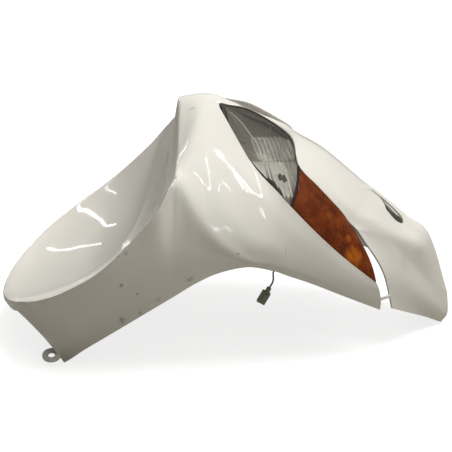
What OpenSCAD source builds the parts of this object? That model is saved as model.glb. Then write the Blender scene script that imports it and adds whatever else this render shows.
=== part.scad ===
/* [Overall size] */
// From the middle of the lamps to the lower tip of the bowl, mm
bowl_length = 362; // [330:1:400]
// From the middle of the lamps to the point of the tongue, mm
tongue_length = 363; // [330:1:400]
// Half of the greatest width, across the bowl's rim, mm
half_width = 231; // [205:1:255]
// From the ground to the top of the nose, lying on its back, mm
nose_height = 388; // [350:1:430]
// Wall of the moulded shell, mm
wall = 3; // [2:0.25:4]

/* [Bowl] */
// How far the bowl's middle lies below its straight floor line, mm
bowl_dip = 0; // [-10:1:15]
// How quickly the bowl's sides rise to the rim
bowl_curve = 2.3; // [1.8:0.1:3]

/* [Air slots] */
// Height that the spine between the slots stands up, mm
spine_raise = 5; // [2:0.5:9]

/* [Fixing ears] */
// Outside diameter of each ear at the lower corners, mm
ear_d = 29; // [24:1:34]
// Hole for the fixing bolt, mm
ear_hole = 11; // [6:0.5:14]
// Thickness of each ear, mm
ear_thick = 3.5; // [2.5:0.5:6]
// Tilt of the ear's face from level, degrees
ear_tilt = 22; // [10:1:35]

/* [Bridging straps] */
// Width of the strap from panel tip to tongue, mm
strap_width = 6; // [4:0.5:10]
// Thickness of that strap, mm
strap_thick = 3; // [2:0.5:5]

/* [Lamp lenses] */
// Wall of both lenses, mm
lens_wall = 2.5; // [2:0.25:4]
// Gap between a lens and the shell's edge, mm
lens_gap = 0.8; // [0.4:0.1:1]
// Rise of the clear lens above the line of the shell, mm
clear_bulge = 15; // [10:1:20]
// Rise of the amber lens above the line of the shell, mm
amber_bulge = 7; // [4:1:12]
// Gap between lens and housing, and between seal and lens, mm
fit_gap = 0.3; // [0.2:0.05:0.5]

/* [Lamp body] */
// Depth of the lamp's housing behind the lens, mm
housing_depth = 62; // [50:1:72]
// Wall of the housing, mm
housing_wall = 2.5; // [2:0.25:3.5]
// Depth of the headlamp's reflector behind the lens, mm
reflector_depth = 40; // [30:1:46]
// Wall of both reflectors, mm
reflector_wall = 1.5; // [1:0.25:2.5]

/* [Hidden] */
e = 0.01;

// The form is drawn in a layout box of these sizes and stretched to the sizes above.
draw_bowl = 362;
draw_tongue = 363;
draw_half = 231;
draw_height = 388;

// Sections run from the rear edge (first point) to the centre line (last point), on one half.
// Each point is [along, out from the centre, up]. Guides, in order: rear edge, wing or flank,
// rim or soft ridge, flank, ridge below the lamp, lamp's lower edge, lamp's upper edge,
// tongue side, slot's outer edge, slot's inner edge, centre line.
sec_edge = [[-252,169,1],[-282,174,46],[-322,135,70],[-333,116,67],[-341,97,64],[-346,82,62],
    [-351,66,60],[-356,50,58],[-360,30,57],[-362,14,57],[-362,0,57]];
sec_tip = [[-243,171,7],[-268,178,44],[-322,141,94],[-334,119,85],[-342,102,80],[-348,86,76],
    [-353,70,73],[-357,54,70],[-360,34,67],[-361,15,66],[-362,0,65]];
// Outer points and the centre's [along, up] of the sections through the bowl.
bowl_outer = [
    [[-232,174,16],[-255,187,56],[-302,172,105]],
    [[-215,177,29],[-232,201,78],[-253,212,134]],
    [[-175,184,57],[-182,214,115],[-189,231,178]],
    [[-125,192,92],[-128,216,160],[-131,222,235]],
    [[-98,194,110],[-100,213,190],[-100,216,272]]];
bowl_centre = [[-320,68],[-264,82],[-202,108],[-142,158],[-102,240]];
bowl_share = [0.86, 0.70, 0.54, 0.40, 0.27, 0.16, 0.07, 0];
sec_lip = [[-76,194,124],[-78,204,205],[-78,181,298],[-76,150,307],[-75,118,316],[-74,84,329],
    [-74,56,345],[-74,36,361],[-74,20,373],[-75,8,380],[-75,0,382]];
sec_nose = [[-45,194,144],[-46,200,200],[-47,190,263],[-46,142,303],[-45,90,339],[-43,52,363],
    [-42,36,372],[-42,26,378],[-42,16,383],[-42,7,386],[-42,0,387]];
sec_apex = [[-11,191,159],[-11,196,188],[-11,196,220],[-11,163,270],[-13,104,318],[-10,24,372],
    [-11,15,377],[-11,11,380],[-11,7,382],[-11,3,383],[-11,0,383]];
sec_lamp_a = [[33,184,166],[33,187,173],[34,189,184],[34,178,220],[35,134,275],[39,92,304],
    [38,22,354],[38,16,357],[38,10,359],[38,5,360],[38,0,361]];
sec_lamp_b = [[72,177,157],[72,179,164],[73,180,174],[74,176,198],[76,156,236],[80,131,268],
    [98,38,329],[98,28,331],[97,18,332],[97,8,333],[97,0,333]];
sec_seam = [[95,172,147],[95,174,154],[96,175,164],[97,172,185],[98,162,216],[99,144,250],
    [113,79,295],[116,58,304],[119,36,310],[122,15,313],[123,0,314]];
sec_amber_a = [[133,163,130],[133,165,137],[134,167,146],[135,166,164],[137,161,187],[140,153,209],
    [143,96,266],[148,78,275],[155,44,286],[160,18,289],[163,0,289]];
sec_amber_b = [[184,150,104],[184,153,111],[184,155,120],[184,156,134],[183,154,151],[183,149,167],
    [178,103,229],[188,84,240],[203,36,247],[209,14,248],[212,0,247]];
sec_panel_tip = [[240,138,77],[241,139,84],[241,140,92],[240,141,102],[238,142,112],[234,142,123],
    [191,105,211],[212,80,219],[235,13,224],[237,7,224],[238,0,223]];
sec_slot_end = [[0,0,0],[0,0,0],[0,0,0],[0,0,0],[0,0,0],[0,0,0],
    [199,105,203],[233,76,203],[279,26,182],[284,7,186],[286,0,186]];
sec_fall = [[0,0,0],[0,0,0],[0,0,0],[0,0,0],[0,0,0],[0,0,0],
    [203,106,199],[249,76,182],[310,34,147],[325,10,152],[328,0,152]];
sec_crease = [[0,0,0],[0,0,0],[0,0,0],[0,0,0],[0,0,0],[0,0,0],
    [206,106,195],[263,73,158],[319,37,93],[354,11,57],[362,0,51]];
sec_skirt = [[0,0,0],[0,0,0],[0,0,0],[0,0,0],[0,0,0],[0,0,0],
    [245,108,133],[284,76,98],[326,41,56],[357,11,26],[363,0,22]];
sec_end = [[0,0,0],[0,0,0],[0,0,0],[0,0,0],[0,0,0],[0,0,0],
    [263,104,66],[289,75,47],[322,39,23],[347,11,4],[352,0,0]];

// A bowl section: the outer points as drawn, then a curve from rim to centre.
function bowl_section(i) = let(rim = bowl_outer[i][2], mid = bowl_centre[i])
    concat(bowl_outer[i], [for (s = bowl_share)
        [mid[0] + (rim[0] - mid[0]) * pow(s, 2), rim[1] * s,
         mid[1] - bowl_dip + (rim[2] - mid[1] + bowl_dip) * pow(s, bowl_curve)]]);

sections = concat([sec_edge, sec_tip], [for (i = [0:4]) bowl_section(i)],
    [sec_lip, sec_nose, sec_apex, sec_lamp_a, sec_lamp_b, sec_seam, sec_amber_a, sec_amber_b,
     sec_panel_tip, sec_slot_end, sec_fall, sec_crease, sec_skirt, sec_end]);
s_tip = 1; s_lip = 7; s_nose = 8; s_apex = 9; s_lamp_a = 10; s_lamp_b = 11; s_seam = 12;
s_amber_a = 13; s_amber_b = 14; s_panel = 15; s_slot = 16; s_fall = 17; s_crease = 18; s_end = 20;
g_rim = 2; g_ridge = 4; g_low = 5; g_up = 6; g_slot_out = 8; g_slot_in = 9; g_mid = 10;

// Steps between one section and the next, and between one guide and the next.
row_steps = [1, 2, 3, 3, 3, 2, 4, 2, 2, 3, 3, 4, 2, 2, 2, 3, 2, 3, 2, 2];
col_steps = [3,3,2,2,2,2,2,2,1,1];

function stretch(p) = [p[0] * (p[0] < 0 ? bowl_length / draw_bowl : tongue_length / draw_tongue),
    -p[1] * half_width / draw_half, p[2] * nose_height / draw_height];
function spline(a, b, c, d, t) = 0.5 * (2 * b + (c - a) * t + (2 * a - 5 * b + 4 * c - d) * t * t
    + (3 * b - a - 3 * c + d) * t * t * t);
function unit(v) = v / max(norm(v), 1e-9);

// Sharp places: the tip, the lip and the crease of the tongue along the length, and the rim across.
function sharp_row(k, g) = g >= g_low && k == s_apex && (g == g_low || g == g_up) ? true
    : (k == s_tip || k == s_lip) ? g > g_rim
    : k == s_crease ? g > g_low
    : k == s_panel ? g <= g_low : false;
function sharp_col(k, t, g) = g == g_rim ? (k >= s_tip && (k < s_lip || (k == s_lip && t == 0)))
    : (g == g_low || g == g_up) ? (k > s_apex || (k == s_apex && t >= 0)) : false;

function on_guide(g, k, t) = let(last = len(sections) - 1, k2 = min(k + 1, last),
    b = stretch(sections[k][g]), c = stretch(sections[k2][g]),
    a = (k == 0 || sharp_row(k, g)) ? 2 * b - c : stretch(sections[k - 1][g]),
    d = (k2 == last || sharp_row(k2, g)) ? 2 * c - b : stretch(sections[k2 + 1][g]))
    t == 0 ? b : spline(a, b, c, d, t);
function flip(p) = [p[0], -p[1], p[2]];
// A point of the outer surface: between sections k and k + 1 by t, between guides g and g + 1 by s.
function skin(k, t, g, s) = let(
    b = on_guide(g, k, t), c = on_guide(min(g + 1, g_mid), k, t),
    a = (g == 0 || sharp_col(k, t, g)) ? 2 * b - c : on_guide(g - 1, k, t),
    d = g + 1 >= g_mid ? flip(on_guide(g_mid - 1, k, t))
        : sharp_col(k, t, g + 1) ? 2 * c - b : on_guide(g + 2, k, t))
    s == 0 ? b : spline(a, b, c, d, s);

row_at = [for (k = [0:len(row_steps) - 1]) each [for (i = [0:row_steps[k] - 1]) [k, i / row_steps[k]]],
    [len(row_steps), 0]];
col_at = [for (g = [0:len(col_steps) - 1]) each [for (i = [0:col_steps[g] - 1]) [g, i / col_steps[g]]]];
nr = len(row_at);
nh = len(col_at);
nc = 2 * nh + 1;
half_grid = [for (r = row_at) [for (c = concat(col_at, [[g_mid, 0]])) skin(r[0], r[1], c[0], c[1])]];
function lift(r, c) = let(k = row_at[r][0], t = row_at[r][1], u = k + t)
    (u > s_panel - 1 && u < s_slot + 1 && c >= nh - 1)
        ? spine_raise * pow(cos(90 * min(1, abs(u - (s_panel + 0.6)) / 1.4)), 2) : 0;
grid = [for (r = [0:nr - 1]) [for (c = [0:nc - 1]) let(h = c <= nh ? c : nc - 1 - c,
    p = half_grid[r][h] + [0, 0, lift(r, h)]) c <= nh ? p : flip(p)]];
function cut_out(g, k) = (g == g_low && k >= s_apex) || (g < g_low && k >= s_panel)
    || (g == g_slot_out && k == s_panel);
function present(r, c) = (r < 0 || c < 0 || r >= nr - 1 || c >= nc - 1) ? false
    : !cut_out(col_at[c < nh ? c : nc - 2 - c][0], row_at[r][0]);
function cell_normal(r, c) = unit(cross(grid[r + 1][c + 1] - grid[r][c], grid[r][c + 1] - grid[r + 1][c]));
// Normals of the cells that meet at a grid point.
function normals_at(r, c) = [for (i = [-1, 0]) for (j = [-1, 0])
    if (present(r + i, c + j)) cell_normal(r + i, c + j)];
function total(v, i = 0) = i >= len(v) ? [0, 0, 0] : v[i] + total(v, i + 1);
// At the lamp's edges the wall stands upright, so that the lens drops in beside it.
function at_guide(c, g) = (c <= nh ? c : nc - 1 - c) == len([for (x = col_at) if (x[0] < g) x]);
function at_lamp_edge(r, c) = (row_at[r][0] >= s_apex && at_guide(c, g_low))
    || (row_at[r][0] >= s_lamp_b && row_at[r][0] < s_seam && at_guide(c, g_up));
function inward(r, c) = let(n = normals_at(r, c), a = unit(total(n)))
    len(n) == 0 ? [0, 0, 0] : at_lamp_edge(r, c) ? [0, 0, -wall * 1.3]
    : -a * wall / max(0.5, min([for (x = n) a * x]));
inner = [for (r = [0:nr - 1]) [for (c = [0:nc - 1]) grid[r][c] + inward(r, c)]];
function id(r, c, side) = (side * nr + r) * nc + c;

module shell_skin() {
    faces = [for (r = [0:nr - 2]) for (c = [0:nc - 2]) if (present(r, c)) each concat(
        [[id(r, c, 0), id(r, c + 1, 0), id(r + 1, c, 0)],
         [id(r + 1, c, 0), id(r, c + 1, 0), id(r + 1, c + 1, 0)],
         [id(r, c, 1), id(r + 1, c, 1), id(r, c + 1, 1)],
         [id(r + 1, c, 1), id(r + 1, c + 1, 1), id(r, c + 1, 1)]],
        present(r - 1, c) ? [] : edge_faces(r, c, r, c + 1),
        present(r + 1, c) ? [] : edge_faces(r + 1, c + 1, r + 1, c),
        present(r, c - 1) ? [] : edge_faces(r + 1, c, r, c),
        present(r, c + 1) ? [] : edge_faces(r, c + 1, r + 1, c + 1))];
    used = [for (side = [0, 1]) for (r = [0:nr - 1]) for (c = [0:nc - 1])
        (side == 0 ? grid : inner)[r][c]];
    polyhedron(used, faces, convexity = 10);
}
function edge_faces(r0, c0, r1, c1) = [
    [id(r0, c0, 0), id(r0, c0, 1), id(r1, c1, 1)], [id(r0, c0, 0), id(r1, c1, 1), id(r1, c1, 0)]];

// The frame: the shell's box is centred along and stands on the ground.
flat_points = [for (r = [0:nr - 1]) for (c = [0:nh]) if (len(normals_at(r, c)) > 0) each [grid[r][c], inner[r][c]]];
xs = [for (p = flat_points) p[0]];
ground = min([for (p = flat_points) p[2]]);
shift = [-(min(xs) + max(xs)) / 2, 0, -ground];
module placed() translate(shift) children();
module far_side() mirror([0, 1, 0]) children();

// A lamp's layers are all set along one draw direction from the line of its lens.
draw_dir = unit([0, 0.15, -1]);
function opening_low(u) = on_guide(g_low, floor(u), u - floor(u));
function opening_up(u) = on_guide(g_up, floor(u), u - floor(u));
function share(u, u0, u1) = max(0, min(1, (u - u0) / (u1 - u0)));
function bulge(u) = u < s_seam ? lens_start_bulge + (amber_bulge - lens_start_bulge) * share(u, s_apex, s_seam)
        + (clear_bulge - amber_bulge) * sin(180 * pow(share(u, s_apex, s_seam), 0.8))
    : amber_bulge - (amber_bulge - lens_end_bulge) * share(u, s_seam, s_panel);
// The step into the opening, square to the edge whose direction is t.
function step_in(n, t, d) = let(m = unit(cross(n, t))) m * (m * d < 0 ? -1 : 1);
function lens_line(u, w, gap = lens_gap) = let(a = opening_low(u), b = opening_up(u), d = unit(b - a),
    ta = opening_low(u + 0.02) - opening_low(u - 0.02), tb = opening_up(u + 0.02) - opening_up(u - 0.02),
    n = unit(cross(ta, b - a)), a2 = a + step_in(n, ta, d) * gap, b2 = b - step_in(n, tb, d) * gap)
    a2 + (b2 - a2) * w + n * (n[2] < 0 ? -1 : 1) * bulge(u) * pow(sin(180 * w), 0.7)
    + unit(opening_low(u) - opening_low(u - 0.02)) * free_end_round * pow(share(u, s_amber_b, lens_to), 2)
        * sin(180 * w);
lens_draw = lens_wall / 0.75;
housing_draw = housing_wall / 0.6;
reflector_draw = reflector_wall / 0.75;
lens_start_bulge = 3;
lens_end_bulge = 3;
// How far the free end of the amber lens rounds out past a straight end.
free_end_round = 9;
function box_rise(x, p) = 1 - pow(abs(2 * x - 1), p);
// Depth of the housing's floor behind the lens.
function housing_floor(u, w) = pow(max(0, box_rise(w, 4)), 0.8)
    * housing_depth * (u < s_seam ? pow(max(0, sin(90 * min(1, share(u, s_apex, s_lamp_b - 0.2)))), 0.9)
        * (1 - 0.25 * share(u, s_lamp_b - 0.2, s_seam)) : 0.75 - 0.3 * share(u, s_seam, s_panel))
    * (u > s_amber_b ? pow(max(0, cos(90 * share(u, s_amber_b, s_panel))), 0.5) : 1);
function layer(u, w, depth, gap = lens_gap) = lens_line(u, w, gap) + draw_dir * depth;
function lens_back() = lens_draw + fit_gap;

module slab(top, bottom) {
    rows = len(top); cols = len(top[0]); n = rows * cols;
    function q(r, c, side) = side * n + r * cols + c;
    function side(a, b) = [[q(a[0], a[1], 0), q(a[0], a[1], 1), q(b[0], b[1], 1)],
        [q(a[0], a[1], 0), q(b[0], b[1], 1), q(b[0], b[1], 0)]];
    polyhedron(concat([for (r = top) each r], [for (r = bottom) each r]), concat(
        [for (r = [0:rows - 2]) for (c = [0:cols - 2]) each [
            [q(r, c, 0), q(r, c + 1, 0), q(r + 1, c, 0)], [q(r + 1, c, 0), q(r, c + 1, 0), q(r + 1, c + 1, 0)],
            [q(r, c, 1), q(r + 1, c, 1), q(r, c + 1, 1)], [q(r + 1, c, 1), q(r + 1, c + 1, 1), q(r, c + 1, 1)]]],
        [for (r = [0:rows - 2]) each concat(side([r + 1, 0], [r, 0]), side([r, cols - 1], [r + 1, cols - 1]))],
        [for (c = [0:cols - 2]) each concat(side([0, c], [0, c + 1]), side([rows - 1, c + 1], [rows - 1, c]))]),
        convexity = 6);
}
function along(u0, u1, n) = [for (i = [0:n]) u0 + (u1 - u0) * i / n];

// Where the lamp's parts start and stop along the opening.
lens_from = s_apex + 0.06;
seal_half = 0.07;
lens_to = s_panel - 0.03;
clear_rows = along(lens_from, s_seam - seal_half, 9);
amber_rows = along(s_seam + seal_half, lens_to, 8);
lens_cols = along(0, 1, 8);
seal_rows = [s_seam - seal_half + 0.02, s_seam + seal_half - 0.02];

module lens(rows) slab([for (u = rows) [for (w = lens_cols) layer(u, w, 0)]],
    [for (u = rows) [for (w = lens_cols) layer(u, w, lens_draw)]]);
module lamp_seal() slab([for (u = seal_rows) [for (w = lens_cols) layer(u, w, 0.4)]],
    [for (u = seal_rows) [for (w = lens_cols) layer(u, w, lens_draw - 0.1)]]);

// Housing: one tub behind both lenses.
housing_cols = [0, 0.03, 0.1, 0.22, 0.5, 0.78, 0.9, 0.97, 1];
housing_rows = concat(along(lens_from, s_lamp_a, 3), along(s_lamp_a + 0.33, s_seam, 5),
    along(s_seam + 0.4, lens_to, 6));
housing_gap = 1.9;
function housing_front(u, w) = layer(u, w, lens_back() + housing_floor(u, w), housing_gap);
function housing_rear(u, w) = layer(u, w, lens_back() + housing_floor(u, w) + housing_draw, housing_gap);

// Where the bulbs sit: the middle of the tub's floor, looking square to it.
head_u = s_lamp_b - 0.3;
turn_u = s_amber_a + 0.5;
function floor_axis(u) = let(a = housing_front(u + 0.1, 0.5) - housing_front(u - 0.1, 0.5),
    b = housing_front(u, 0.56) - housing_front(u, 0.44)) unit(cross(b, a));
module at_floor(u) let(z = floor_axis(u), y = unit(cross(z, [1, 0, 0])), x = cross(y, z),
    o = housing_front(u, 0.5)) multmatrix([[x[0], y[0], z[0], o[0]], [x[1], y[1], z[1], o[1]],
        [x[2], y[2], z[2], o[2]], [0, 0, 0, 1]]) children();

head_hole = 24;
turn_hole = 18;
collar_wall = 4;
collar_len = 9;
bulb_bore_below = 6;
bulb_bore_len = 30;
module bulb_collar(hole) translate([0, 0, 0.5]) cylinder(d = hole + 2 * collar_wall, h = collar_len + 2.5, $fn = 48);
module bulb_bore(hole) translate([0, 0, -bulb_bore_below]) cylinder(d = hole, h = bulb_bore_len, $fn = 48);

// Screw places: [section, step, guide, between guides, which wall of the tub].
screw_places = [[s_lamp_a, 0.45, g_ridge, 0.55, 0.03], [s_lamp_a, 0.5, g_slot_out - 1, 0.5, 0.97],
    [s_amber_a, 0.7, g_up, 0.6, 0.97]];
boss_d = 9;
boss_len = 17;
pilot_d = 3.2;
pilot_len = 12;
screw_d = 3;
screw_head_d = 7;
screw_head_h = 2.4;
lug_d = 12;
lug_thick = 3;
function screw_at(p) = skin(p[0], p[1], p[2], p[3]) - [0, 0, boss_len];
// The space under the skin round a screw place, so that a boss ends inside the wall.
patch_t = [-0.2, 0, 0.2];
patch_s = [-0.35, 0, 0.35];
function patch_point(p, t, g, drop) = skin(p[0], p[1] + t, p[2], p[3] + g) - [0, 0, drop];
module under_skin(p) slab([for (t = patch_t) [for (g = patch_s) patch_point(p, t, g, wall * 0.4)]],
    [for (t = patch_t) [for (g = patch_s) patch_point(p, t, g, boss_len * 3)]]);
module boss(p) intersection() {
    translate(screw_at(p)) cylinder(d = boss_d, h = boss_len * 2, $fn = 32);
    under_skin(p);
}
module pilot(p) translate(screw_at(p) - [0, 0, 1]) cylinder(d = pilot_d, h = pilot_len + 1, $fn = 24);
module lug(p) hull() {
    translate(screw_at(p) - [0, 0, lug_thick]) cylinder(d = lug_d, h = lug_thick, $fn = 24);
    translate(housing_rear(p[0] + p[1], p[4])) sphere(d = 3.5, $fn = 12);
}
boss_room = 0.3;
driver_room = 0.5;
// The lug's hole, the room round the boss above it and the driver's way to the screw's head.
module lug_bore(p) {
    translate(screw_at(p) - [0, 0, lug_thick + 1]) cylinder(d = pilot_d + 0.6, h = lug_thick + 2, $fn = 24);
    translate(screw_at(p)) cylinder(d = boss_d + 2 * boss_room, h = boss_len, $fn = 32);
    translate(screw_at(p) - [0, 0, lug_thick + driver_len])
        cylinder(d = screw_head_d + 2 * driver_room, h = driver_len, $fn = 32);
}
driver_len = 30;
module screw(p) translate(screw_at(p) - [0, 0, lug_thick + screw_head_h]) {
    difference() {
        cylinder(d = screw_head_d, h = screw_head_h, $fn = 32);
        translate([0, 0, -e]) cylinder(d = 2.4, h = 1.4, $fn = 6);
    }
    translate([0, 0, screw_head_h - e]) cylinder(d = screw_d, h = lug_thick + pilot_len - 1.5, $fn = 24);
}

module lamp_housing() difference() {
    union() {
        slab([for (u = housing_rows) [for (w = housing_cols) housing_front(u, w)]],
            [for (u = housing_rows) [for (w = housing_cols) housing_rear(u, w)]]);
        at_floor(head_u) bulb_collar(head_hole);
        at_floor(turn_u) bulb_collar(turn_hole);
        for (p = screw_places) lug(p);
    }
    at_floor(head_u) bulb_bore(head_hole);
    at_floor(turn_u) bulb_bore(turn_hole);
    for (p = screw_places) lug_bore(p);
}
module lamp_screws() for (p = screw_places) screw(p);

// Reflectors: thin bright bowls that follow the tub's walls and lift off its floor.
refl_gap = 2.1;
refl_from = 0.1;
refl_to = 0.9;
refl_cols = along(refl_from, refl_to, 8);
head_refl_rows = along(s_apex + 0.55, s_seam - 0.2, 9);
turn_refl_rows = along(s_seam + 0.25, s_panel - 0.35, 7);
function refl_lift(u, w, u0, u1) = sin(180 * share(u, u0, u1)) * sin(180 * share(w, refl_from, refl_to));
function refl_point(u, w, rows, extra) = let(u0 = rows[0], u1 = rows[len(rows) - 1])
    layer(u, w, lens_back() + max(1, housing_floor(u, w) - reflector_draw - refl_gap
        - (housing_depth - reflector_depth) * refl_lift(u, w, u0, u1)) + extra, housing_gap);
refl_bore_below = 40;
refl_bore_len = 60;
module reflector(rows, at_u, hole) difference() {
    slab([for (u = rows) [for (w = refl_cols) refl_point(u, w, rows, 0)]],
        [for (u = rows) [for (w = refl_cols) refl_point(u, w, rows, reflector_draw)]]);
    at_floor(at_u) translate([0, 0, -refl_bore_below]) cylinder(d = hole, h = refl_bore_len, $fn = 40);
}

// Bulbs and their holders turn in the collars.
holder_gap = 0.2;
flange_extra = 7;
flange_thick = 3;
boot_len = 20;
module bulb_holder(hole, bore) translate([0, 0, collar_len + 3]) difference() {
    union() {
        translate([0, 0, -collar_len - 1]) cylinder(d = hole - 2 * holder_gap, h = collar_len + 1 + e, $fn = 48);
        cylinder(d = hole + flange_extra, h = flange_thick, $fn = 48);
        translate([0, 0, flange_thick - e]) cylinder(d1 = hole + 3, d2 = hole - 4, h = boot_len, $fn = 48);
    }
    translate([0, 0, -collar_len - 2]) cylinder(d = bore, h = collar_len, $fn = 40);
}
head_glass_d = 16;
head_glass_len = 34;
turn_glass_d = 13;
turn_glass_len = 19;
base_gap = 0.2;
module bulb(glass_d, glass_len, hole, bore) {
    translate([0, 0, -4]) cylinder(d = bore - 2 * base_gap, h = 13.5, $fn = 40);
    translate([0, 0, -glass_len + glass_d / 2]) cylinder(d = glass_d, h = glass_len - glass_d / 2 - 4 + e, $fn = 32);
    translate([0, 0, -glass_len + glass_d / 2]) sphere(d = glass_d, $fn = 32);
}
head_base_d = 19;
turn_base_d = 14;

// The lead from the near indicator: a thin tube along hand-chosen points, with a plug at its end.
lead_d = 2.6;
lead_sides = 8;
lead_steps = 3;
lead_points = [[147,-99.8,160],[142,-94,154],[128,-98,147],[108,-118,146],[90,-138,151],[79,-148,152],
    [73,-150,145],[73,-150,136],[72,-150,128],[67,-150,119]];
lead_ref = [0.3, 0.8, 0.5];
function lead_at(i, t) = let(n = len(lead_points) - 1, b = lead_points[i], c = lead_points[min(i + 1, n)],
    a = i == 0 ? 2 * b - c : lead_points[i - 1], d = i + 1 >= n ? 2 * c - b : lead_points[i + 2])
    spline(a, b, c, d, t);
lead_path = [for (i = [0:len(lead_points) - 2]) each [for (k = [0:lead_steps - 1]) lead_at(i, k / lead_steps)],
    lead_points[len(lead_points) - 1]];
module lead_tube() {
    n = len(lead_path);
    rings = [for (i = [0:n - 1]) let(t = unit(lead_path[min(i + 1, n - 1)] - lead_path[max(i - 1, 0)]),
        x = unit(cross(lead_ref, t)), y = cross(t, x))
        each [for (k = [0:lead_sides - 1]) let(a = 360 * k / lead_sides)
            lead_path[i] + (x * cos(a) + y * sin(a)) * lead_d / 2]];
    polyhedron(rings, concat([[for (k = [0:lead_sides - 1]) k]],
        [for (i = [0:n - 2]) for (k = [0:lead_sides - 1]) let(p = i * lead_sides + k,
            q = i * lead_sides + (k + 1) % lead_sides) each [[p, p + lead_sides, q],
            [q, p + lead_sides, q + lead_sides]]],
        [[for (k = [lead_sides - 1:-1:0]) (n - 1) * lead_sides + k]]), convexity = 6);
}
plug_len = 20;
plug_wide = 13;
plug_deep = 9;
plug_neck_d = 7.5;
plug_neck_len = 8;
pin_d = 2.4;
pin_gap = 5.4;
pin_depth = 12;
lead_end_gap = 0.1;
module at_lead_end() let(n = len(lead_points) - 1, d = lead_points[n] - lead_points[n - 1])
    translate(lead_points[n] + unit(d) * lead_end_gap) rotate([0, 180 + atan2(-d[0], -d[2]), 0]) children();
module plug_body() at_lead_end() difference() {
    union() {
        cylinder(d = plug_neck_d, h = plug_neck_len + e, $fn = 40);
        translate([-plug_wide / 2, -plug_deep / 2, plug_neck_len]) cube([plug_wide, plug_deep, plug_len]);
        translate([-2.5, -plug_deep / 2 - 2, plug_neck_len + 3]) cube([5, 2 + e, 12]);
    }
    for (x = [-1, 1]) translate([x * pin_gap / 2, 0, plug_neck_len + plug_len - pin_depth])
        cylinder(d = pin_d + 1.2, h = pin_depth + 1, $fn = 24);
}
module plug_pins() at_lead_end() for (x = [-1, 1])
    translate([x * pin_gap / 2, 0, plug_neck_len + plug_len - pin_depth]) cylinder(d = pin_d, h = pin_depth - 2, $fn = 24);

// The bowl and tongue moulding with everything moulded on it.
ear_out = 7.5;
ear_in = 1;
ear_drop = 5;
module ear() let(seat = skin(0, 0, 0, 0.4)) translate(seat + [-ear_out, ear_in, -ear_drop])
    rotate([ear_tilt, 0, 0]) children();
module ear_disc() ear() cylinder(d = ear_d, h = ear_thick, center = true, $fn = 64);
ear_bore_spare = 20;
module ear_bore() ear() cylinder(d = ear_hole, h = ear_thick + ear_bore_spare, center = true, $fn = 64);
strap_bite = 3;
module strap_end() cube([strap_thick, strap_thick, strap_width], center = true);
module strap() hull() {
    translate(on_guide(g_rim, s_panel, 0) + [-strap_bite, wall / 2, strap_width / 2]) strap_end();
    translate(on_guide(g_up, s_crease + 1, 0.7) + [strap_bite, wall * 0.7, 0]) strap_end();
}
module shell_fittings() {
    ear_disc();
    strap();
    for (p = screw_places) boss(p);
}
module shell_holes() {
    ear_bore();
    for (p = screw_places) pilot(p);
}
module apron_shell() color("white") placed() difference() {
    union() {
        shell_skin();
        shell_fittings();
        far_side() shell_fittings();
    }
    shell_holes();
    far_side() shell_holes();
}

module headlamp_lens_near() color([0.8, 0.85, 0.9]) placed() lens(clear_rows);
module headlamp_lens_far() color([0.8, 0.85, 0.9]) placed() far_side() lens(clear_rows);
module indicator_lens_near() color("darkorange") placed() lens(amber_rows);
module indicator_lens_far() color("darkorange") placed() far_side() lens(amber_rows);
module lamp_seal_near() color("black") placed() lamp_seal();
module lamp_seal_far() color("black") placed() far_side() lamp_seal();
module lamp_housing_near() color("dimgray") placed() lamp_housing();
module lamp_housing_far() color("dimgray") placed() far_side() lamp_housing();
module headlamp_reflector_near() color("silver") placed() reflector(head_refl_rows, head_u, head_hole);
module headlamp_reflector_far() color("silver") placed() far_side() reflector(head_refl_rows, head_u, head_hole);
module indicator_reflector_near() color("silver") placed() reflector(turn_refl_rows, turn_u, turn_hole);
module indicator_reflector_far() color("silver") placed() far_side() reflector(turn_refl_rows, turn_u, turn_hole);
module head_bulb() at_floor(head_u) bulb(head_glass_d, head_glass_len, head_hole, head_base_d);
module turn_bulb() at_floor(turn_u) bulb(turn_glass_d, turn_glass_len, turn_hole, turn_base_d);
module headlamp_bulb_near() color("lightblue") placed() head_bulb();
module headlamp_bulb_far() color("lightblue") placed() far_side() head_bulb();
module indicator_bulb_near() color("orange") placed() turn_bulb();
module indicator_bulb_far() color("orange") placed() far_side() turn_bulb();
module headlamp_holder_near() color("black") placed() at_floor(head_u) bulb_holder(head_hole, head_base_d);
module headlamp_holder_far() color("black") placed() far_side() at_floor(head_u) bulb_holder(head_hole, head_base_d);
module indicator_holder_near() color("black") placed() at_floor(turn_u) bulb_holder(turn_hole, turn_base_d);
module indicator_holder_far() color("black") placed() far_side() at_floor(turn_u) bulb_holder(turn_hole, turn_base_d);
module indicator_lead() color([0.15, 0.15, 0.15]) placed() lead_tube();
module lead_plug() color([0.45, 0.47, 0.38]) placed() plug_body();
module lead_pins() color("gold") placed() plug_pins();
module lamp_screws_near() color("gray") placed() lamp_screws();
module lamp_screws_far() color("gray") placed() far_side() lamp_screws();

apron_shell();
headlamp_lens_near();
headlamp_lens_far();
indicator_lens_near();
indicator_lens_far();
lamp_seal_near();
lamp_seal_far();
lamp_housing_near();
lamp_housing_far();
headlamp_reflector_near();
headlamp_reflector_far();
indicator_reflector_near();
indicator_reflector_far();
headlamp_bulb_near();
headlamp_bulb_far();
indicator_bulb_near();
indicator_bulb_far();
headlamp_holder_near();
headlamp_holder_far();
indicator_holder_near();
indicator_holder_far();
lamp_screws_near();
lamp_screws_far();
indicator_lead();
lead_plug();
lead_pins();
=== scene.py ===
import math

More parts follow.
